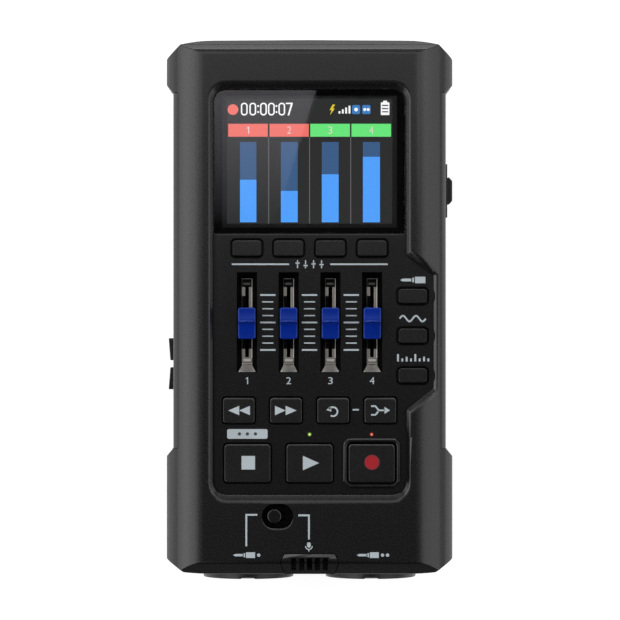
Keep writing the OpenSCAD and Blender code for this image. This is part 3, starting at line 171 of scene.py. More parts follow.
def calm(m, level):
    """Takes the gloss off where a surface is seen at a glancing angle, as a fine grain does."""
    t = m.node_tree
    glance = t.nodes.new("ShaderNodeLayerWeight")
    glance.inputs["Blend"].default_value = 0.5
    fall = spread(t, glance.outputs["Facing"], level, CALM_LEVEL, *CALM_AT)
    t.links.new(fall, t.nodes["Principled BSDF"].inputs["Specular IOR Level"])


def brushed(name, colour, rough, grain):
    """Metal with fine marks along Y."""
    m = plain(name, colour, rough, Metallic=1.0)
    t = m.node_tree
    p = t.nodes["Principled BSDF"]
    coord = t.nodes.new("ShaderNodeTexCoord")
    mapping = t.nodes.new("ShaderNodeMapping")
    mapping.inputs["Scale"].default_value = (1, MARK_STRETCH, 1)
    n = t.nodes.new("ShaderNodeTexNoise")
    n.inputs["Scale"].default_value = 1 / (grain * MM)
    t.links.new(coord.outputs["Object"], mapping.inputs["Vector"])
    t.links.new(mapping.outputs["Vector"], n.inputs["Vector"])
    dark = [c * MARK_DARK for c in colour]
    t.links.new(ramp(t, n.outputs["Fac"], 0.3, 0.7, dark, colour), p.inputs["Base Color"])
    t.links.new(spread(t, n.outputs["Fac"], rough - ROUGH_VARY, rough + ROUGH_VARY), p.inputs["Roughness"])
    return m


def lit(name, colour, strength, grain=0.3):
    """A part of the picture on the screen, or a light, a little uneven from dot to dot."""
    m = plain(name, (0.0, 0.0, 0.0), 0.4, Specular_IOR_Level=0.0)
    t = m.node_tree
    p = t.nodes["Principled BSDF"]
    t.links.new(uneven(t, noise(t, grain, 1.0), colour, 0.05), p.inputs["Emission Color"])
    p.inputs["Emission Strength"].default_value = strength
    return m


GLOSS = {"Specular_IOR_Level": 0.7}
MAT = {
    "case_plastic": moulded("case_plastic", (0.0026, 0.0025, 0.0025), 0.27, 0.5, 0.006, **GLOSS),
    "panel_plastic": moulded("panel_plastic", (0.0018, 0.0018, 0.0021), 0.25, 0.35, 0.003, **GLOSS),
    "key_plastic": moulded("key_plastic", (0.0070, 0.0070, 0.0074), 0.25, 0.35, 0.003, **GLOSS),
    "knob_blue": moulded("knob_blue", (0.0004, 0.018, 0.24), 0.19, 0.3, 0.002, **GLOSS,
                         Specular_Tint=(0.42, 0.6, 1.0, 1.0)),
    "lens": plain("lens", (0.93, 0.93, 0.95), 0.015, Transmission_Weight=1.0, IOR=1.49),
    "lcd": moulded("lcd", (0.002, 0.002, 0.0023), 0.3, 0.2, 0.002),
    "board": moulded("board", (0.01, 0.09, 0.04), 0.4, 0.5, 0.01),
    "switch_plastic": moulded("switch_plastic", (0.03, 0.03, 0.03), 0.5, 0.3, 0.01),
    "steel": brushed("steel", (0.42, 0.40, 0.365), 0.32, 0.1),
    "jack_plastic": moulded("jack_plastic", (0.010, 0.010, 0.0105), 0.36, 0.3, 0.012),
    "nickel": brushed("nickel", (0.62, 0.62, 0.64), 0.26, 0.2),
    "black_screw": brushed("black_screw", (0.06, 0.06, 0.065), 0.38, 0.2),
    "cell_wrap": moulded("cell_wrap", (0.02, 0.06, 0.16), 0.3, 0.4, 0.006),
    "rubber": moulded("rubber", (0.012, 0.012, 0.012), 0.75, 0.4, 0.05),
    "light": lit("light", srgb(84, 118, 22), 1.0),
}
FELT = moulded("felt", (0.004, 0.004, 0.004), 0.9, 0.2, 0.03, Specular_IOR_Level=0.1)
# painted shade: a near-black plastic with little gloss, put on faces that lie in shade, such as slot and
# hole walls, the switch dish, the fader frames' lower faces, the plates on the frames and the rings round
# the small keys
PAINTED_SHADE = moulded("painted_shade_plastic", (0.0009, 0.0009, 0.0010), 0.6, 0.3, 0.003, Specular_IOR_Level=0.04)
PRINT = moulded("legend_print", srgb(180, 190, 195), 0.5, 0.2, 0.004, 0.04)
PRINT_RED = moulded("legend_red", srgb(166, 30, 40), 0.5, 0.2, 0.004, 0.05, Specular_IOR_Level=0.2)
PRINT_EDGE = moulded("legend_red_edge", srgb(126, 48, 54), 0.5, 0.2, 0.004, 0.05, Specular_IOR_Level=0.2)
PRINT_DARK = moulded("legend_dark", srgb(46, 55, 64), 0.5, 0.2, 0.004, 0.05)
LIGHT_RED = lit("light_red", srgb(128, 34, 20), 1.0)
CORE_GREEN = lit("light_core_green", srgb(212, 235, 146), 1.1)
CORE_RED = lit("light_core_red", srgb(236, 146, 124), 1.0)
SCREEN = {
    "back": lit("screen_back", srgb(50, 51, 50), 1.0),
    "line": lit("screen_line", srgb(108, 108, 110), 1.0),
    "red": lit("screen_red", srgb(255, 124, 113), 1.0),
    "green": lit("screen_green", srgb(113, 245, 132), 1.0),
    "dim": lit("screen_dim", srgb(67, 100, 142), 1.0),
    "blue": lit("screen_blue", srgb(84, 163, 253), 1.12),
    "sign": lit("screen_sign", srgb(70, 136, 200), 1.0),
    "white": lit("screen_white", (1.0, 1.0, 0.98), 1.12),
    "pale": lit("screen_pale", srgb(246, 226, 220), 1.0),
    "yellow": lit("screen_yellow", srgb(240, 214, 60), 1.0),
}


# Pieces from the CAD nodes, with softened edges

def settle(obj, body, material):
    """Links a new piece and says what it rides on."""
    scene.collection.objects.link(obj)
    obj.data.materials.append(material)
    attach(obj, body)
    return obj


def piece(name, bm, body, material):
    """A new piece from bm."""
    mesh = bpy.data.meshes.new(name)
    bm.to_mesh(mesh)
    bm.free()
    return settle(bpy.data.objects.new(name, mesh), body, material)


def softened(name, bm, width, segments=3, angle=28, share=None):
    """An object from bm whose sharp edges are rounded to width, or to the share of it that share gives."""
    weight = bm.edges.layers.float.new("bevel_weight_edge")
    for e in bm.edges:
        if len(e.link_faces) == 2 and e.calc_face_angle() > math.radians(angle):
            part = share(e) if share else 1.0
            e[weight] = part
            e.smooth = part > 0
    mesh = bpy.data.meshes.new(name)
    bm.to_mesh(mesh)
    bm.free()
    obj = bpy.data.objects.new(name, mesh)
    bevel = obj.modifiers.new("edges", "BEVEL")
    bevel.width = width * MM
    bevel.segments = segments
    bevel.limit_method = "WEIGHT"
    bevel.use_clamp_overlap = False
    flat = obj.modifiers.new("normals", "WEIGHTED_NORMAL")
    flat.keep_sharp = True
    return obj


# points this near are one, and faces within this many degrees are one flat face
SEAM = 0.002
FLAT = 0.5


def clean_copy(node):
    """A node's mesh with its seams joined and its flat faces whole."""
    bm = bmesh.new()
    bm.from_mesh(nodes[node].data)
    bmesh.ops.remove_doubles(bm, verts=bm.verts, dist=SEAM * MM)
    bmesh.ops.dissolve_limit(bm, angle_limit=math.radians(FLAT), verts=bm.verts, edges=bm.edges)
    bmesh.ops.recalc_face_normals(bm, faces=bm.faces)
    for f in bm.faces:
        f.smooth = True
    return bm


# upper faces: the panel lies a little below its lens
PANEL_Z = top_of("display_lens") - 0.05
FRONT_Z = top_of("front_case")
FRAME_Z = top_of("lcd_module")
FADER_X = (-18.75, -6.25, 6.25, 18.75)
FADER_Y = -3.6
# dish of the input switch
DISH_X = -9.58
DISH_HALF = (5.0, 4.1)
DISH_Y = (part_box("input_switch_knob")[0][1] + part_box("input_switch_knob")[1][1]) / 2 / MM
DISH_STEP = 0.2
# the grille, the opening round it and its upper edge
GRILLE_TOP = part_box("mic_grille")[1][1] / MM
GRILLE_HALF = 10.0
GRILLE_GAP = 0.6
GRILLE_EDGE = 0.3
# where the power knob's wings end, and how far they come in
WING_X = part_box("power_switch_bezel")[1][0] / MM + 0.3
WING_DROP = 0.25
# below this the ring round the record key is thin
RING_LOW = -50.5
# insides of the case's walls
INNER_X = 38.7
INNER_Y = (-75.7, 77.7)
BACK_WALL = 3.4
FRONT_WALL = FRONT_Z - 3.9
FRONT_SHARE = 0.55
BUMPER_X = 40.2
BUMPER_ENDS = ((-44.2, -41.0), (64.8, 68.0))
# a face this little below another still belongs to it
SKIM = 0.03
# how far the cut edge below the lens faces up
CUT = (0.8, 0.97)
# share of the rounding at every edge of a key, and what its far end, near end and sides add
LARGE_KEY = (0.1, 0.9, 0.5, 0.4)
SMALL_KEY = (0.08, 0.4, 0.5, 0.08)
RIM_X = (28.8, 30.9)
RIM_FOOT = 28.9
RIM_SHIFT = 0.75
# where the rim beside the record key starts to steepen, is steep and ends
STEEP_Y = (-34.5, -38.0, -49.3)


def middle_of(edge):
    """Middle of an edge."""
    return (edge.verts[0].co + edge.verts[1].co) / 2 / MM


def panel_share(edge):
    """Only the ring round the record key has soft edges, apart from its thin low corners."""
    x, y, z = middle_of(edge)
    return 1.0 if z > PANEL_Z + 0.05 and y > RING_LOW else 0.0


def side_of(edge):
    """The upright face's direction at an edge."""
    return min((f.normal for f in edge.link_faces), key=lambda n: abs(n.z))


def key_share(shares):
    """Keys are rounded most at their ends, as their sides catch the side lamps."""
    base, far, near, sides = shares

    def share(edge):
        n = side_of(edge)
        return base + far * max(n.y, 0) + near * max(-n.y, 0) + sides * abs(n.x)
    return share


def in_dish(x, y):
    """Within the dish of the input switch."""
    return abs(x - DISH_X) < DISH_HALF[0] and abs(y - DISH_Y) < DISH_HALF[1]


def at_bumper_end(x, y):
    """On the steps where the corner bumpers meet the sides."""
    return abs(x) > BUMPER_X and any(low < y < high for low, high in BUMPER_ENDS)


def inside(x, y):
    """Within the case's walls."""
    return abs(x) < INNER_X and INNER_Y[0] < y < INNER_Y[1]


def front_share(edge):
    """Rounds the front by FRONT_SHARE, and the switch dish on its low side only.

    The grille's opening, the steep rim, the bumpers' steps and the inside stay sharp.
    """
    x, y, z = middle_of(edge)
    if in_dish(x, y):
        return max(side_of(edge).y, 0)
    by_grille = abs(x) < GRILLE_HALF and y < GRILLE_TOP + GRILLE_GAP
    by_record = RIM_FOOT < x < RIM_X[1] and STEEP_Y[2] < y < STEEP_Y[1]
    within = inside(x, y) and z < FRONT_WALL
    return 0.0 if by_grille or by_record or within or at_bumper_end(x, y) else FRONT_SHARE


def rear_share(edge):
    """The rear case is rounded on its outside only, apart from the bumpers' steps."""
    x, y, z = middle_of(edge)
    within = inside(x, y) and z > BACK_WALL
    return 0.0 if within or at_bumper_end(x, y) else 1.0


def grille_share(edge):
    """Only the grille's upper edge is rounded."""
    return 1.0 if middle_of(edge).y > GRILLE_TOP - GRILLE_EDGE else 0.0


def shade_dish(bm):
    """The floor and the walls of the switch dish get painted shade."""
    for f in bm.faces:
        x, y, z = f.calc_center_median() / MM
        if in_dish(x, y) and z < FRONT_Z - DISH_STEP and (f.normal.z > 0.9 or abs(f.normal.z) < 0.1):
            f.material_index = 1


def shade_panel(bm):
    """Walls of the panel's slots, holes and seats get painted shade, apart from the cut edge below the lens.
    """
    for f in bm.faces:
        cut = CUT[0] < f.normal.z < CUT[1]
        if f.calc_center_median().z / MM < PANEL_Z - SKIM and not cut:
            f.material_index = 1


def shade_frames(bm):
    """Every face of the fader frames but the upper one gets painted shade."""
    for f in bm.faces:
        if f.calc_center_median().z / MM < FRAME_Z - SKIM:
            f.material_index = 1


def steep_rim(bm):
    """Makes the rim steep beside the record key, at the places in STEEP_Y."""
    def beside(v):
        return RIM_X[0] < v.co.x / MM < RIM_X[1] and v.co.z / MM > PANEL_Z - 0.1

    for y in STEEP_Y:
        faces = [f for f in bm.faces if all(beside(v) for v in f.verts)]
        edges = {e for f in faces for e in f.edges}
        verts = {v for f in faces for v in f.verts}
        bmesh.ops.bisect_plane(bm, geom=faces + list(edges) + list(verts), plane_co=(0, y * MM, 0),
                               plane_no=(0, 1, 0), dist=0.0001 * MM)
    for v in bm.verts:
        x, y, z = [c / MM for c in v.co]
        if beside(v) and STEEP_Y[2] - 0.01 < y < STEEP_Y[1] + 0.01:
            if x < RIM_FOOT + 0.1:
                v.co.x = (RIM_FOOT + RIM_SHIFT) * MM
            elif z > FRONT_Z - 0.3:
                v.co.z = (FRONT_Z - 0.01) * MM


def close_wings(bm):
    """Brings the power knob's wings to just above its bezel."""
    for v in bm.verts:
        if abs(v.co.x / MM - WING_X) < 0.02:
            v.co.x -= WING_DROP * MM


def dress(node, width):
    """Replaces a node by its skin, with edges rounded to width."""
    bm = clean_copy(node)
    if node in FITTED:
        FITTED[node](bm)
    if node in SHADE_PAINTED:
        SHADE_PAINTED[node](bm)
    obj = softened(node + "_skin", bm, width, share=SHARES.get(node))
    slot = SLOT_OF[node]
    settle(obj, BODY_OF[node], MAT[slot])
    # a second material slot holds the painted shade
    if node in SHADE_PAINTED:
        obj.data.materials.append(PAINTED_SHADE)
    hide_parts(node)


KEYS = ["soft_key_1", "soft_key_2", "soft_key_3", "soft_key_4", "input_key", "effect_key", "rhythm_key",
        "rewind_key", "forward_key", "undo_key", "bounce_key", "stop_key", "play_key", "record_key"]
SMALL_KEYS = KEYS[:7]
# width of the rounding on each node's edges
EDGES = {
    "front_case": 0.45, "rear_case": 0.2, "control_panel": 0.08, "display_lens": 0.05, "mic_grille": 0.12,
    "power_switch_bezel": 0.2, "power_switch_knob": 0.25, "volume_up_button": 0.25,
    "volume_down_button": 0.25, "input_switch_knob": 0.4, "input_a_housing": 0.35, "input_b_housing": 0.35,
    "input_a_insert": 0.25, "input_b_insert": 0.25, "battery_door": 0.2, "card_door": 0.05,
    "rubber_feet": 0.3, "phones_jack": 0.08, "line_out_jack": 0.08, "usb_port": 0.08, "fader_frames": 0.12,
    "case_screws": 0.1,
}
KEY_EDGE = 0.5
KNOB_EDGE = 0.4
# what is fitted to a node's mesh, which share of the width its edges take and which of its faces get painted
# shade
FITTED = {"front_case": steep_rim, "power_switch_knob": close_wings}
SHARES = {"control_panel": panel_share, "front_case": front_share, "rear_case": rear_share,
          "mic_grille": grille_share}
SHADE_PAINTED = {"control_panel": shade_panel, "fader_frames": shade_frames, "front_case": shade_dish}
for key in KEYS:
    EDGES[key] = KEY_EDGE
    SHARES[key] = key_share(SMALL_KEY if key in SMALL_KEYS else LARGE_KEY)
for i in range(1, 5):
    EDGES["fader_knob_%d" % i] = KNOB_EDGE
calm(MAT["case_plastic"], GLOSS["Specular_IOR_Level"])
for node, obj in nodes.items():
    obj.data.materials.clear()
    obj.data.materials.append(MAT[SLOT_OF[node]])
nodes["mic_capsule"].data.materials.clear()
nodes["mic_capsule"].data.materials.append(FELT)
for node, width in EDGES.items():
    dress(node, width)
# the input switch is as dark as the panel
bpy.data.objects["input_switch_knob_skin"].data.materials[0] = MAT["panel_plastic"]


LIGHT_EDGE = 0.2
LIGHT_ANGLE = 40


def split_lights():
    """The two status lights as two pieces, the left one green."""
    lights = ((-1, "status_light_green", MAT["light"]), (1, "status_light_red", LIGHT_RED))
    for side, name, material in lights:
        bm = clean_copy("status_leds")
        middle = 0.5 * (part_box("status_leds")[0][0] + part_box("status_leds")[1][0])
        away = [v for v in bm.verts if (v.co.x - middle) * side < 0]
        bmesh.ops.delete(bm, geom=away, context="VERTS")
        obj = softened(name, bm, LIGHT_EDGE, angle=LIGHT_ANGLE)
        settle(obj, BODY_OF["status_leds"], material)
        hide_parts("status_leds")


split_lights()


# Flat shapes: print and picture elements are thin closed plates

PLATE_H = 0.03


def rect(x0, x1, y0, y1):
    """A rectangle."""
    return [(x0, y0), (x1, y0), (x1, y1), (x0, y1)]


def disc(x, y, r, n=32):
    """A disc with n corners."""
    return [(x + r * math.cos(2 * math.pi * k / n), y + r * math.sin(2 * math.pi * k / n)) for k in range(n)]


def pill(x0, x1, y0, y1, r, n=6):
    """A rectangle with round corners."""
    pts = []
    corners = ((x1 - r, y1 - r), (x0 + r, y1 - r), (x0 + r, y0 + r), (x1 - r, y0 + r))
    for quarter, (cx, cy) in enumerate(corners):
        for k in range(n + 1):
            t = math.radians(90 * quarter + 90 * k / n)
            pts.append((cx + r * math.cos(t), cy + r * math.sin(t)))
    return pts


def arc(x, y, r, a0, a1, n):
    """Points of an arc from a0 to a1 degrees."""
    turns = [math.radians(a0 + (a1 - a0) * k / n) for k in range(n + 1)]
    return [(x + r * math.cos(t), y + r * math.sin(t)) for t in turns]


def stroke(pts, w):
    """Outline of a line of width w along pts."""
    left, right = [], []
    for k, p in enumerate(pts):
        a = Vector(pts[max(k - 1, 0)])
        b = Vector(pts[min(k + 1, len(pts) - 1)])
        here = Vector(p)
        back = (here - a).normalized() if k > 0 else (b - here).normalized()
        ahead = (b - here).normalized() if k < len(pts) - 1 else back
        t = (back + ahead).normalized()
        normal = Vector((-t.y, t.x))
        reach = w / 2 / max(normal.dot(Vector((-ahead.y, ahead.x))), 0.4)
        left.append(tuple(here + normal * reach))
        right.append(tuple(here - normal * reach))
    return right + left[::-1]


def plates(name, shapes, z, body, material, thick=PLATE_H):
    """One piece of thin closed plates, standing from z to z + thick."""
    bm = bmesh.new()
    for pts in shapes:
        area = sum(a[0] * b[1] - b[0] * a[1] for a, b in zip(pts, pts[1:] + pts[:1]))
        ring = pts if area > 0 else pts[::-1]
        low = [bm.verts.new((x * MM, y * MM, z * MM)) for x, y in ring]
        high = [bm.verts.new((x * MM, y * MM, (z + thick) * MM)) for x, y in ring]
        bm.faces.new(low[::-1])
        bm.faces.new(high)
        for k in range(len(ring)):
            j = (k + 1) % len(ring)
            bm.faces.new((low[k], low[j], high[j], high[k]))
    piece(name, bm, body, material)


def figures(name, words, x0, x1, y0, y1, z, body, material, slot, weight=0.0):
    """Figures that fill the box from x0, y0 to x1, y1."""
    curve = bpy.data.curves.new(name, "FONT")
    curve.body = words
    curve.extrude = 0.5
    curve.offset = weight
    curve.resolution_u = 6
    temp = bpy.data.objects.new(name + "_text", curve)
    scene.collection.objects.link(temp)
    bpy.context.view_layer.update()
    mesh = bpy.data.meshes.new_from_object(temp.evaluated_get(bpy.context.evaluated_depsgraph_get()))
    bpy.data.objects.remove(temp)
    bpy.data.curves.remove(curve)
    mesh.name = name
    xs = [v.co.x for v in mesh.vertices]
    ys = [v.co.y for v in mesh.vertices]
    for v in mesh.vertices:
        v.co.x = (x0 + (v.co.x - min(xs)) / (max(xs) - min(xs)) * (x1 - x0)) * MM
        v.co.y = (y0 + (v.co.y - min(ys)) / (max(ys) - min(ys)) * (y1 - y0)) * MM
        v.co.z = (z + (PLATE_H if v.co.z > 0 else 0)) * MM
    bm = bmesh.new()
    bm.from_mesh(mesh)
    bmesh.ops.remove_doubles(bm, verts=bm.verts, dist=0.001 * MM)
    bm.to_mesh(mesh)
    bm.free()
    settle(bpy.data.objects.new(name, mesh), body, material)


def one(x, y0, y1):
    """The figure 1 round x, from y0 to y1."""
    h = y1 - y0
    return [(x + 0.02 * h, y0), (x + 0.17 * h, y0), (x + 0.17 * h, y1), (x + 0.06 * h, y1),
            (x - 0.17 * h, y1 - 0.19 * h), (x - 0.17 * h, y1 - 0.32 * h), (x + 0.02 * h, y1 - 0.2 * h)]


def hoop(x0, x1, y0, y1, r, w):
    """A rounded frame of width w, as its two halves."""
    outer = pill(x0, x1, y0, y1, r)
    inner = pill(x0 + w, x1 - w, y0 + w, y1 - w, r - w)
    half = len(outer) // 2
    back = outer[half:] + outer[:1]
    return [outer[:half + 1] + inner[half::-1], back + inner[:1] + inner[:half - 1:-1]]


# The picture on the screen

LCD_Z = top_of("lcd_module") + 0.02
LAYER = 0.04
FIELD_X = (-24.78, 24.8)
FIELD_Y = (25.95, 63.45)
HEAD_Y = (52.05, 55.92)
HEAD_X = ((-24.39, -12.53), (-11.99, -0.23), (0.23, 12.11), (12.59, 24.45))
TRACK_Y = (52.95, 55.1)
TRACK_HALF = 0.62
TRACK_WEIGHT = -0.012
DIVIDER_X = (-12.26, 0.0, 12.35)
DIVIDER_HALF = 0.13
DIVIDER_TOP = 52.0
# sides and level of each meter
METERS = ((-20.87, -15.95, 39.14), (-8.6, -3.56, 35.78), (3.68, 8.72, 40.76), (16.01, 21.12, 46.01))
METER_Y = (26.38, 50.45)
CLOCK_Y = (58.42, 62.25)
CLOCK_LINE = 0.42
# left sides of the clock's noughts, their width and round corners
NOUGHT_X = (-20.6, -18.05, -14.84, -12.47, -9.35)
NOUGHT_W = 2.04
NOUGHT_R = 0.96
# middles of its four dots
DOT_X = (-15.41, -9.92)
DOT_Y = (59.45, 61.25)
DOT_HALF = 0.26
SIGN_Y = (58.85, 61.55)


def picture():
    """The tracks' heads and meters, the clock and the signs of the top row, in thin layers on the screen."""
    slot, body = "lcd", "case"

    def show(name, shapes, colour, level):
        plates("screen_" + name, shapes, LCD_Z + LAYER * level, body, SCREEN[colour])

    show("field", [rect(*FIELD_X, *FIELD_Y)], "back", 0)
    show("record_dot", [disc(-22.98, 60.18, 1.6, 40)], "red", 1)
    show("heads_armed", [rect(*x, *HEAD_Y) for x in HEAD_X[:2]], "red", 1)
    show("heads_play", [rect(*x, *HEAD_Y) for x in HEAD_X[2:]], "green", 1)
    dividers = [rect(x - DIVIDER_HALF, x + DIVIDER_HALF, FIELD_Y[0], DIVIDER_TOP) for x in DIVIDER_X]
    show("dividers", dividers, "line", 1)
    show("meters_dim", [rect(a, b, t, METER_Y[1]) for a, b, t in METERS], "dim", 1)
    show("meters", [rect(a, b, METER_Y[0], t) for a, b, t in METERS], "blue", 1)
    show("track_1", [one(0.5 * sum(HEAD_X[0]), *TRACK_Y)], "pale", 2)
    for k in range(1, 4):
        m = 0.5 * sum(HEAD_X[k])
        figures("screen_track_%d" % (k + 1), str(k + 1), m - TRACK_HALF, m + TRACK_HALF, *TRACK_Y,
                LCD_Z + LAYER * 2, body, SCREEN["pale"], slot, TRACK_WEIGHT)
    low, high = CLOCK_Y
    w = CLOCK_LINE
    clock = []
    for x in NOUGHT_X:
        clock += hoop(x, x + NOUGHT_W, low, high, NOUGHT_R, w)
    for x in DOT_X:
        clock += [pill(x - DOT_HALF, x + DOT_HALF, y - DOT_HALF, y + DOT_HALF, 0.12) for y in DOT_Y]
    clock.append([(-7.13, high), (-7.13, high - w), (-5.62, high - w), (-6.6, low), (-6.12, low),
                  (-5.06, high - w), (-5.06, high)])
    show("clock", clock, "white", 1)
    bolt = [(6.9, 61.7), (6.0, 60.0), (6.65, 60.0), (6.1, 58.5), (7.6, 60.5), (6.95, 60.5), (7.7, 61.7)]
    show("power_sign", [bolt], "yellow", 1)
    signal = [rect(8.7 + k, 9.25 + k, 59.0, 59.7 + 0.55 * k) for k in range(4)]
    show("signal_sign", signal, "white", 1)
    show("input_signs", [pill(12.75, 15.15, *SIGN_Y, 0.45), pill(15.8, 18.3, *SIGN_Y, 0.45)], "sign", 1)
    y = 0.5 * sum(SIGN_Y)
    show("input_dots", [disc(13.95, y, 0.55), disc(16.55, y, 0.45), disc(17.6, y, 0.45)], "white", 2)
    battery = [rect(21.4, 23.95, 58.55, 62.35), rect(22.1, 23.25, 62.35, 62.85)]
    show("battery_sign", battery, "white", 1)
    show("battery_gaps", [rect(21.75, 23.6, 59.35 + 0.95 * k, 59.7 + 0.95 * k) for k in range(3)], "back", 2)


picture()


# Dust shutters, the knobs' painted shadow and strips on the fader frames, and the cores of the lights

LEVER_HALF = 0.45
COVER_X = (-1.5, 1.36)
COVER_TOP_Y = (6.95, 9.4)
COVER_LEFT_Y = (-11.6, 4.3)
# the right plate, below the knob, is the knob's painted shadow on the frame's metal
KNOB_SHADOW_Y = (-11.6, -6.0)
BAR_X = (-1.1, 0.95)
BAR_Y = (7.6, 8.25)
BAR_H = 0.1
STRIP_X = (1.36, 1.5)
STRIP_Y = (-14.3, 9.0)
STRIP_H = 0.07
COVER_H = 0.12


def join_ends(bm, ends):
    """Closes a rod between two like rings of corners and gives back its sides."""
    bm.faces.new(ends[0])
    bm.faces.new(ends[1][::-1])
    sides = []
    for k in range(len(ends[0])):
        j = (k + 1) % len(ends[0])
        sides.append(bm.faces.new((ends[0][j], ends[0][k], ends[1][k], ends[1][j])))
    return sides


def fader_trim():
    """Black plates beside each lever, the left and upper ones a dust shutter and the right one, below the
    knob, the knob's painted shadow; a bar on the upper plate and a thin bright strip on the right.
    """
    shutters_and_shadow = []
    bars = []
    bm = bmesh.new()
    for x in FADER_X:
        shutters_and_shadow.append(rect(x + COVER_X[0], x + COVER_X[1], *COVER_TOP_Y))
        shutters_and_shadow.append(rect(x + COVER_X[0], x - LEVER_HALF, *COVER_LEFT_Y))
        # painted shadow of the knob on the band to the right of the lever
        shutters_and_shadow.append(rect(x + LEVER_HALF, x + COVER_X[1], *KNOB_SHADOW_Y))
        bars.append(rect(x + BAR_X[0], x + BAR_X[1], *BAR_Y))
        left, right = x + STRIP_X[0], x + STRIP_X[1]
        corners = ((left, FRAME_Z), (right, FRAME_Z), (right, FRAME_Z + STRIP_H))
        join_ends(bm, [[bm.verts.new((a * MM, y * MM, b * MM)) for a, b in corners] for y in STRIP_Y])
    bmesh.ops.recalc_face_normals(bm, faces=bm.faces)
    plates("fader_shutters_and_shadow", shutters_and_shadow, FRAME_Z, "case", PAINTED_SHADE, COVER_H)
    plates("fader_bars", bars, FRAME_Z + COVER_H, "case", MAT["switch_plastic"], BAR_H)
    piece("fader_strips", bm, "case", MAT["steel"])


RIDGE_N = 10
RIDGE_Y = FADER_Y + 0.02
RIDGE_SINK = 0.03
RIDGE_R = 0.3
RIDGE_H = 0.16
RIDGE_HALF = 2.3


def knob_ridges():
    """A low rounded ridge across each fader knob."""
    for k, x in enumerate(FADER_X):
        node = "fader_knob_%d" % (k + 1)
        z = top_of(node) - RIDGE_SINK
        bm = bmesh.new()
        turns = [math.pi * i / RIDGE_N for i in range(RIDGE_N + 1)]
        section = [(RIDGE_Y + RIDGE_R * (1 - math.cos(a)), z + RIDGE_H * math.sin(a)) for a in turns]
        ends = [[bm.verts.new((a * MM, y * MM, h * MM)) for y, h in section]
                for a in (x - RIDGE_HALF, x + RIDGE_HALF)]
        for f in join_ends(bm, ends)[:-1]:
            f.smooth = True
        bmesh.ops.recalc_face_normals(bm, faces=bm.faces)
        piece("fader_ridge_%d" % (k + 1), bm, BODY_OF[node], MAT["knob_blue"])


CORE_R = 0.34
CORE_H = 0.02


def light_cores():
    """A bright core on each status light."""
    low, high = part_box("status_leds")
    y = 0.5 * (low[1] + high[1]) / MM
    r = 0.5 * (high[1] - low[1]) / MM
    z = high[2] / MM
    for name, x, material in (("green", low[0] / MM + r, CORE_GREEN), ("red", high[0] / MM - r, CORE_RED)):
        core = disc(x, y, CORE_R, 24)
        plates("status_core_" + name, [core], z, BODY_OF["status_leds"], material, CORE_H)


fader_trim()
knob_ridges()
light_cores()


# Print on the panel, the keys and the front, and painted shade round the small keys

def plug(x, y, k=1.0):
    """A jack plug lying along X, its tip to the left, about 6.6 k long."""
    return [rect(x + 0.6 * k, x + 3.3 * k, y - 0.85 * k, y + 0.85 * k),
            rect(x - 0.1 * k, x + 0.35 * k, y - 0.6 * k, y + 0.6 * k),
            [(x - 3.3 * k, y), (x - 2.6 * k, y - 0.36 * k), (x - 0.35 * k, y - 0.36 * k),
             (x - 0.35 * k, y + 0.36 * k), (x - 2.6 * k, y + 0.36 * k)]]


LINE_Y = (13.52, 14.0)
# fader signs: their places and how far each knob is up, ends of the track, gap round the knob and half sizes
FADER_SIGNS = ((-3.6, 0.35), (-1.2, -0.4), (1.2, 0.1), (3.6, -0.1))
FADER_SIGN_Y = (12.6, 14.95)
SIGN_TRACK = 0.17
SIGN_GAP = 0.32
SIGN_KNOB = (0.62, 0.2)
# scale marks: columns, highest mark, step and half sizes
SCALE_X = (-12.5, 0.0, 12.5)
SCALE_Y = 4.55
SCALE_STEP = 2.056
LONG_MARK = (2.3, 0.25)
SHORT_MARK = (1.65, 0.18)
# the row of beats
BEATS = (2.2, 0.9, 1.4, 0.9, 2.2, 0.9, 1.4, 0.9)
BEAT_X = 26.2
BEAT_STEP = 1.3
BEAT_Y = -15.35
BEAT_W = 0.55
CHANNEL_Y = (-22.15, -20.05)
CHANNEL_HALF = 0.7


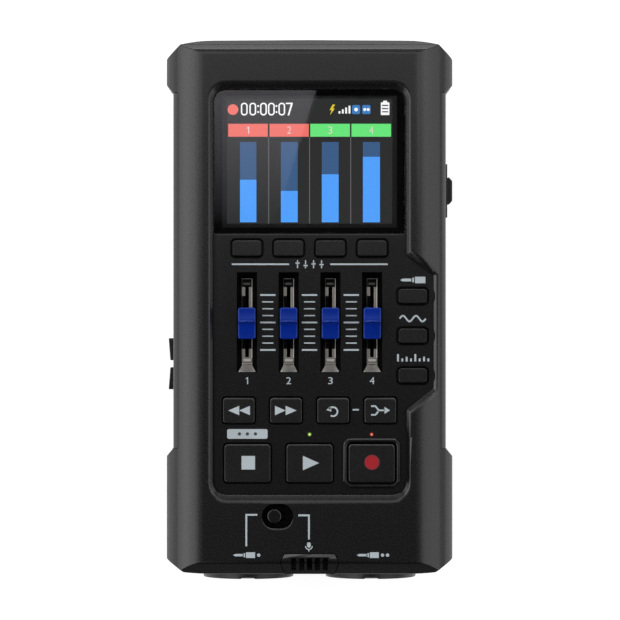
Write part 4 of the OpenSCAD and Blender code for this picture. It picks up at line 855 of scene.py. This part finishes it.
def panel_print():
    """Lines, scales, signs and channel figures on the panel."""
    shapes = [rect(-23.3, -6.15, *LINE_Y), rect(6.2, 23.4, *LINE_Y)]
    # small fader signs between the two lines
    for x, lift in FADER_SIGNS:
        y = 0.5 * sum(LINE_Y) + lift
        half, tall = SIGN_KNOB
        shapes.append(rect(x - SIGN_TRACK, x + SIGN_TRACK, FADER_SIGN_Y[0], y - SIGN_GAP))
        shapes.append(rect(x - SIGN_TRACK, x + SIGN_TRACK, y + SIGN_GAP, FADER_SIGN_Y[1]))
        shapes.append(rect(x - half, x + half, y - tall, y + tall))
    # scale marks beside the faders
    for x in SCALE_X:
        for k in range(9):
            y = SCALE_Y - SCALE_STEP * k
            half, tall = LONG_MARK if k % 4 == 0 else SHORT_MARK
            shapes.append(rect(x - half, x + half, y - tall, y + tall))
    # signs over the side keys: a plug, a wave and a row of beats
    shapes += plug(30.9, 9.05, 1.15)
    wave = [(27.0 + 0.26 * k, -2.5 + 0.85 * math.sin(2 * math.pi * k / 15)) for k in range(31)]
    shapes.append(stroke(wave, 0.5))
    for k, tall in enumerate(BEATS):
        x = BEAT_X + BEAT_STEP * k
        shapes.append(rect(x, x + BEAT_W, BEAT_Y, BEAT_Y + tall))
    # a dash between two keys and a plate with three dots over the stop key
    shapes.append(rect(12.9, 14.75, -30.05, -29.55))
    shapes.append(pill(-24.7, -12.55, -38.5, -35.6, 0.55))
    plates("panel_print", shapes, PANEL_Z, "case", PRINT)
    dots = [disc(-18.6 + 2.4 * k, -37.05, 0.5, 20) for k in (-1, 0, 1)]
    plates("panel_print_dots", dots, PANEL_Z + PLATE_H, "case", PRINT_DARK)
    plates("channel_figure_1", [one(FADER_X[0], *CHANNEL_Y)], PANEL_Z, "case", PRINT)
    for k in range(1, 4):
        x = FADER_X[k]
        figures("channel_figure_%d" % (k + 1), str(k + 1), x - CHANNEL_HALF, x + CHANNEL_HALF, *CHANNEL_Y,
                PANEL_Z, "case", PRINT, "panel_plastic")


# rings of painted shade round the small keys' holes: inset from each key's box, width, corner radius and
# thickness
SHADE_RING_INSET = 0.25
SHADE_RING_W = 0.3
SHADE_RING_R = 1.6
SHADE_RING_H = 0.02


def key_shade_rings():
    """Painted shade round the holes of the small keys: thin dark rings that widen their gaps."""
    shapes = []
    for key in SMALL_KEYS:
        low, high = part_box(key)
        shapes += hoop(low[0] / MM + SHADE_RING_INSET, high[0] / MM - SHADE_RING_INSET, low[1] / MM + SHADE_RING_INSET,
                       high[1] / MM - SHADE_RING_INSET, SHADE_RING_R, SHADE_RING_W)
    plates("key_shade_rings", shapes, PANEL_Z, "case", PAINTED_SHADE, SHADE_RING_H)


KEY_LINE = 0.5
WIND_Y = -30.0
WIND_HALF = 1.4
RECORD_DOT = (18.68, -45.5)
RECORD_R = (1.9, 2.28)


def key_print():
    """Signs on the keys."""
    high = top_of("stop_key")
    y = WIND_Y

    def two_ways(x, s):
        """Two arrow heads in a row, to the left where s is 1 and to the right where it is -1."""
        return [[(x - 3.2 * s, y), (x + 0.1 * s, y + WIND_HALF), (x + 0.1 * s, y - WIND_HALF)],
                [(x + 0.1 * s, y), (x + 3.3 * s, y + WIND_HALF), (x + 3.3 * s, y - WIND_HALF)]]

    turn = arc(7.0, -30.35, 1.35, -120, 150, 24)
    undo = [stroke(turn, KEY_LINE), [(5.0, -29.85), (6.55, -30.35), (6.25, -28.75)]]
    merge = [stroke([(18.4, -28.7), (19.7, -28.7), (20.7, -29.95), (22.6, -29.95)], KEY_LINE),
             stroke([(18.4, -31.3), (19.7, -31.3), (20.55, -30.3)], KEY_LINE),
             [(22.4, -31.0), (24.1, -29.95), (22.4, -28.9)]]
    for name, shapes, material in (
            ("rewind", two_ways(-21.13, 1), PRINT), ("forward", two_ways(-7.05, -1), PRINT),
            ("undo", undo, PRINT), ("bounce", merge, PRINT),
            ("stop", [rect(-20.35, -16.3, -47.65, -43.6)], PRINT),
            ("play", [[(-2.0, -47.9), (2.85, -45.72), (-2.0, -43.55)]], PRINT),
            ("record_edge", [disc(*RECORD_DOT, RECORD_R[1], 48)], PRINT_EDGE),
            ("record", [disc(*RECORD_DOT, RECORD_R[0], 48)], PRINT_RED)):
        lift = PLATE_H if name == "record" else 0.0
        body = BODY_OF[name.replace("_edge", "") + "_key"]
        plates(name + "_sign", shapes, high + lift, body, material)


FRONT_LINE = 0.54
INPUT_Y = -73.2


def front_print():
    """Lines and signs on the front, below the panel."""
    shapes = [stroke([(-18.9, -70.55), (-18.9, -61.15), (-15.6, -61.15)], FRONT_LINE),
              stroke([(-3.36, -61.3), (-0.19, -61.3), (-0.19, -68.5)], FRONT_LINE)]
    # a microphone under the right line, plugs with one and two dots for the two inputs
    shapes.append(pill(-0.75, 0.35, -70.95, -69.35, 0.5))
    shapes.append(stroke(arc(-0.2, -70.5, 1.0, 180, 360, 16), 0.3))
    shapes.append(rect(-0.36, -0.04, -72.1, -71.6))
    for x, count in ((-19.6, 1), (17.4, 2)):
        shapes += plug(x, INPUT_Y)
        for k in range(count):
            shapes.append(disc(x + 4.4 + 1.5 * k, INPUT_Y, 0.5, 20))
    plates("front_print", shapes, FRONT_Z, "case", PRINT)


panel_print()
key_shade_rings()
key_print()
front_print()


# Stage: white floor, plain studio light and the camera

# Soft boxes on a sphere round the object: side, angle off the zenith in degrees, height and watts
LAMP_R = 1.1
LAMP_W = 1.4
SIDES = {"left": 180, "right": 0, "end": 90}
LAMPS = (
    ("left", 25, 0.25, 1.75), ("left", 40, 0.30, 2.95), ("left", 57, 0.36, 2.5), ("left", 77, 0.38, 1.25),
    ("right", 25, 0.25, 1.35), ("right", 40, 0.30, 1.6), ("right", 57, 0.36, 1.8), ("right", 77, 0.38, 0.65),
    ("end", 13, 0.20, 0.8), ("end", 25, 0.25, 1.2), ("end", 50, 0.30, 0.65), ("end", 77, 0.38, 4.5),
)
AIM = (0, 0, 0.03)
# the sky's tone near the floor and overhead, and the heights between which it changes
SKY_LOW = 0.25
SKY_HIGH = 0.012
SKY_Z = (0.12, 0.55)
# the floor's reach, its own tone and the light it adds where it is seen
FLOOR_HALF = 30.0
FLOOR_TONE = 0.5
FLOOR_GLOW = 0.8
# the card that the lens mirrors: its corners, height, where its light starts and is full, and that light
CARD_CORNERS = ((-0.09, 0.15), (-0.09, 0.05), (-0.0225, 0.05), (0.0085, 0.15))
CARD_Z = 1.2
CARD_FADE = (0.05, 0.125)
CARD_GLOW = 0.78
# the camera looks straight down
EYE = (0.000135, 0.00006, 1.15)
FOCAL_MM = 214.5
SENSOR_MM = 36


def sheet(name, corners, z):
    """One flat face of the stage, in metres."""
    bm = bmesh.new()
    bm.faces.new([bm.verts.new((x, y, z)) for x, y in corners])
    mesh = bpy.data.meshes.new(name)
    bm.to_mesh(mesh)
    bm.free()
    obj = bpy.data.objects.new(name, mesh)
    scene.collection.objects.link(obj)
    return obj


def floor():
    """A floor that is white to the camera, in glass and in gloss, and keeps the object's shadow."""
    obj = sheet("floor", rect(-FLOOR_HALF, FLOOR_HALF, -FLOOR_HALF, FLOOR_HALF), 0.0)
    m = plain("floor", (FLOOR_TONE,) * 3, 0.9)
    t = m.node_tree
    p = t.nodes["Principled BSDF"]
    path = t.nodes.new("ShaderNodeLightPath")
    seen = path.outputs["Is Camera Ray"]
    for ray in ("Is Glossy Ray", "Is Transmission Ray"):
        add = t.nodes.new("ShaderNodeMath")
        add.operation = "MAXIMUM"
        t.links.new(seen, add.inputs[0])
        t.links.new(path.outputs[ray], add.inputs[1])
        seen = add.outputs[0]
    lift = t.nodes.new("ShaderNodeMath")
    lift.operation = "MULTIPLY"
    lift.inputs[1].default_value = FLOOR_GLOW
    t.links.new(seen, lift.inputs[0])
    p.inputs["Emission Color"].default_value = (1, 1, 1, 1)
    t.links.new(lift.outputs[0], p.inputs["Emission Strength"])
    obj.data.materials.append(m)


def lamp(side, off, height, power):
    """A soft box that faces the object."""
    light = bpy.data.lights.new("%s_%d" % (side, off), "AREA")
    light.shape = "RECTANGLE"
    light.size = LAMP_W
    light.size_y = height
    light.energy = power
    obj = bpy.data.objects.new(light.name, light)
    scene.collection.objects.link(obj)
    around = math.radians(SIDES[side])
    tilt = math.radians(off)
    obj.location = (LAMP_R * math.sin(tilt) * math.cos(around), LAMP_R * math.sin(tilt) * math.sin(around),
                    LAMP_R * math.cos(tilt))
    obj.rotation_euler = (Vector(AIM) - obj.location).to_track_quat("-Z", "Y").to_euler()
    obj.visible_camera = False


def world():
    """A dim sky, lightest near the floor."""
    w = bpy.data.worlds.new("studio")
    scene.world = w
    w.use_nodes = True
    t = w.node_tree
    back = t.nodes["Background"]
    tone = ramp(t, axis(t, "Generated", "Z"), *SKY_Z, [SKY_LOW] * 3, [SKY_HIGH] * 3)
    t.links.new(tone, back.inputs["Color"])


def mirrored_card():
    """A lit card above the camera that the lens mirrors over its upper left part."""
    obj = sheet("mirrored_card", CARD_CORNERS, CARD_Z)
    m = lit("mirrored_card", (1.0, 0.97, 1.06), 1.0, 40.0)
    t = m.node_tree
    fade = spread(t, axis(t, "Object", "Y"), 0.0, CARD_GLOW, *CARD_FADE)
    t.links.new(fade, t.nodes["Principled BSDF"].inputs["Emission Strength"])
    obj.data.materials.append(m)
    obj.visible_camera = False


floor()
mirrored_card()
world()
for box in LAMPS:
    lamp(*box)

camera = bpy.data.cameras.new("camera")
camera.lens = FOCAL_MM
camera.sensor_width = SENSOR_MM
eye = bpy.data.objects.new("camera", camera)
scene.collection.objects.link(eye)
eye.location = EYE
scene.camera = eye

bpy.context.view_layer.update()
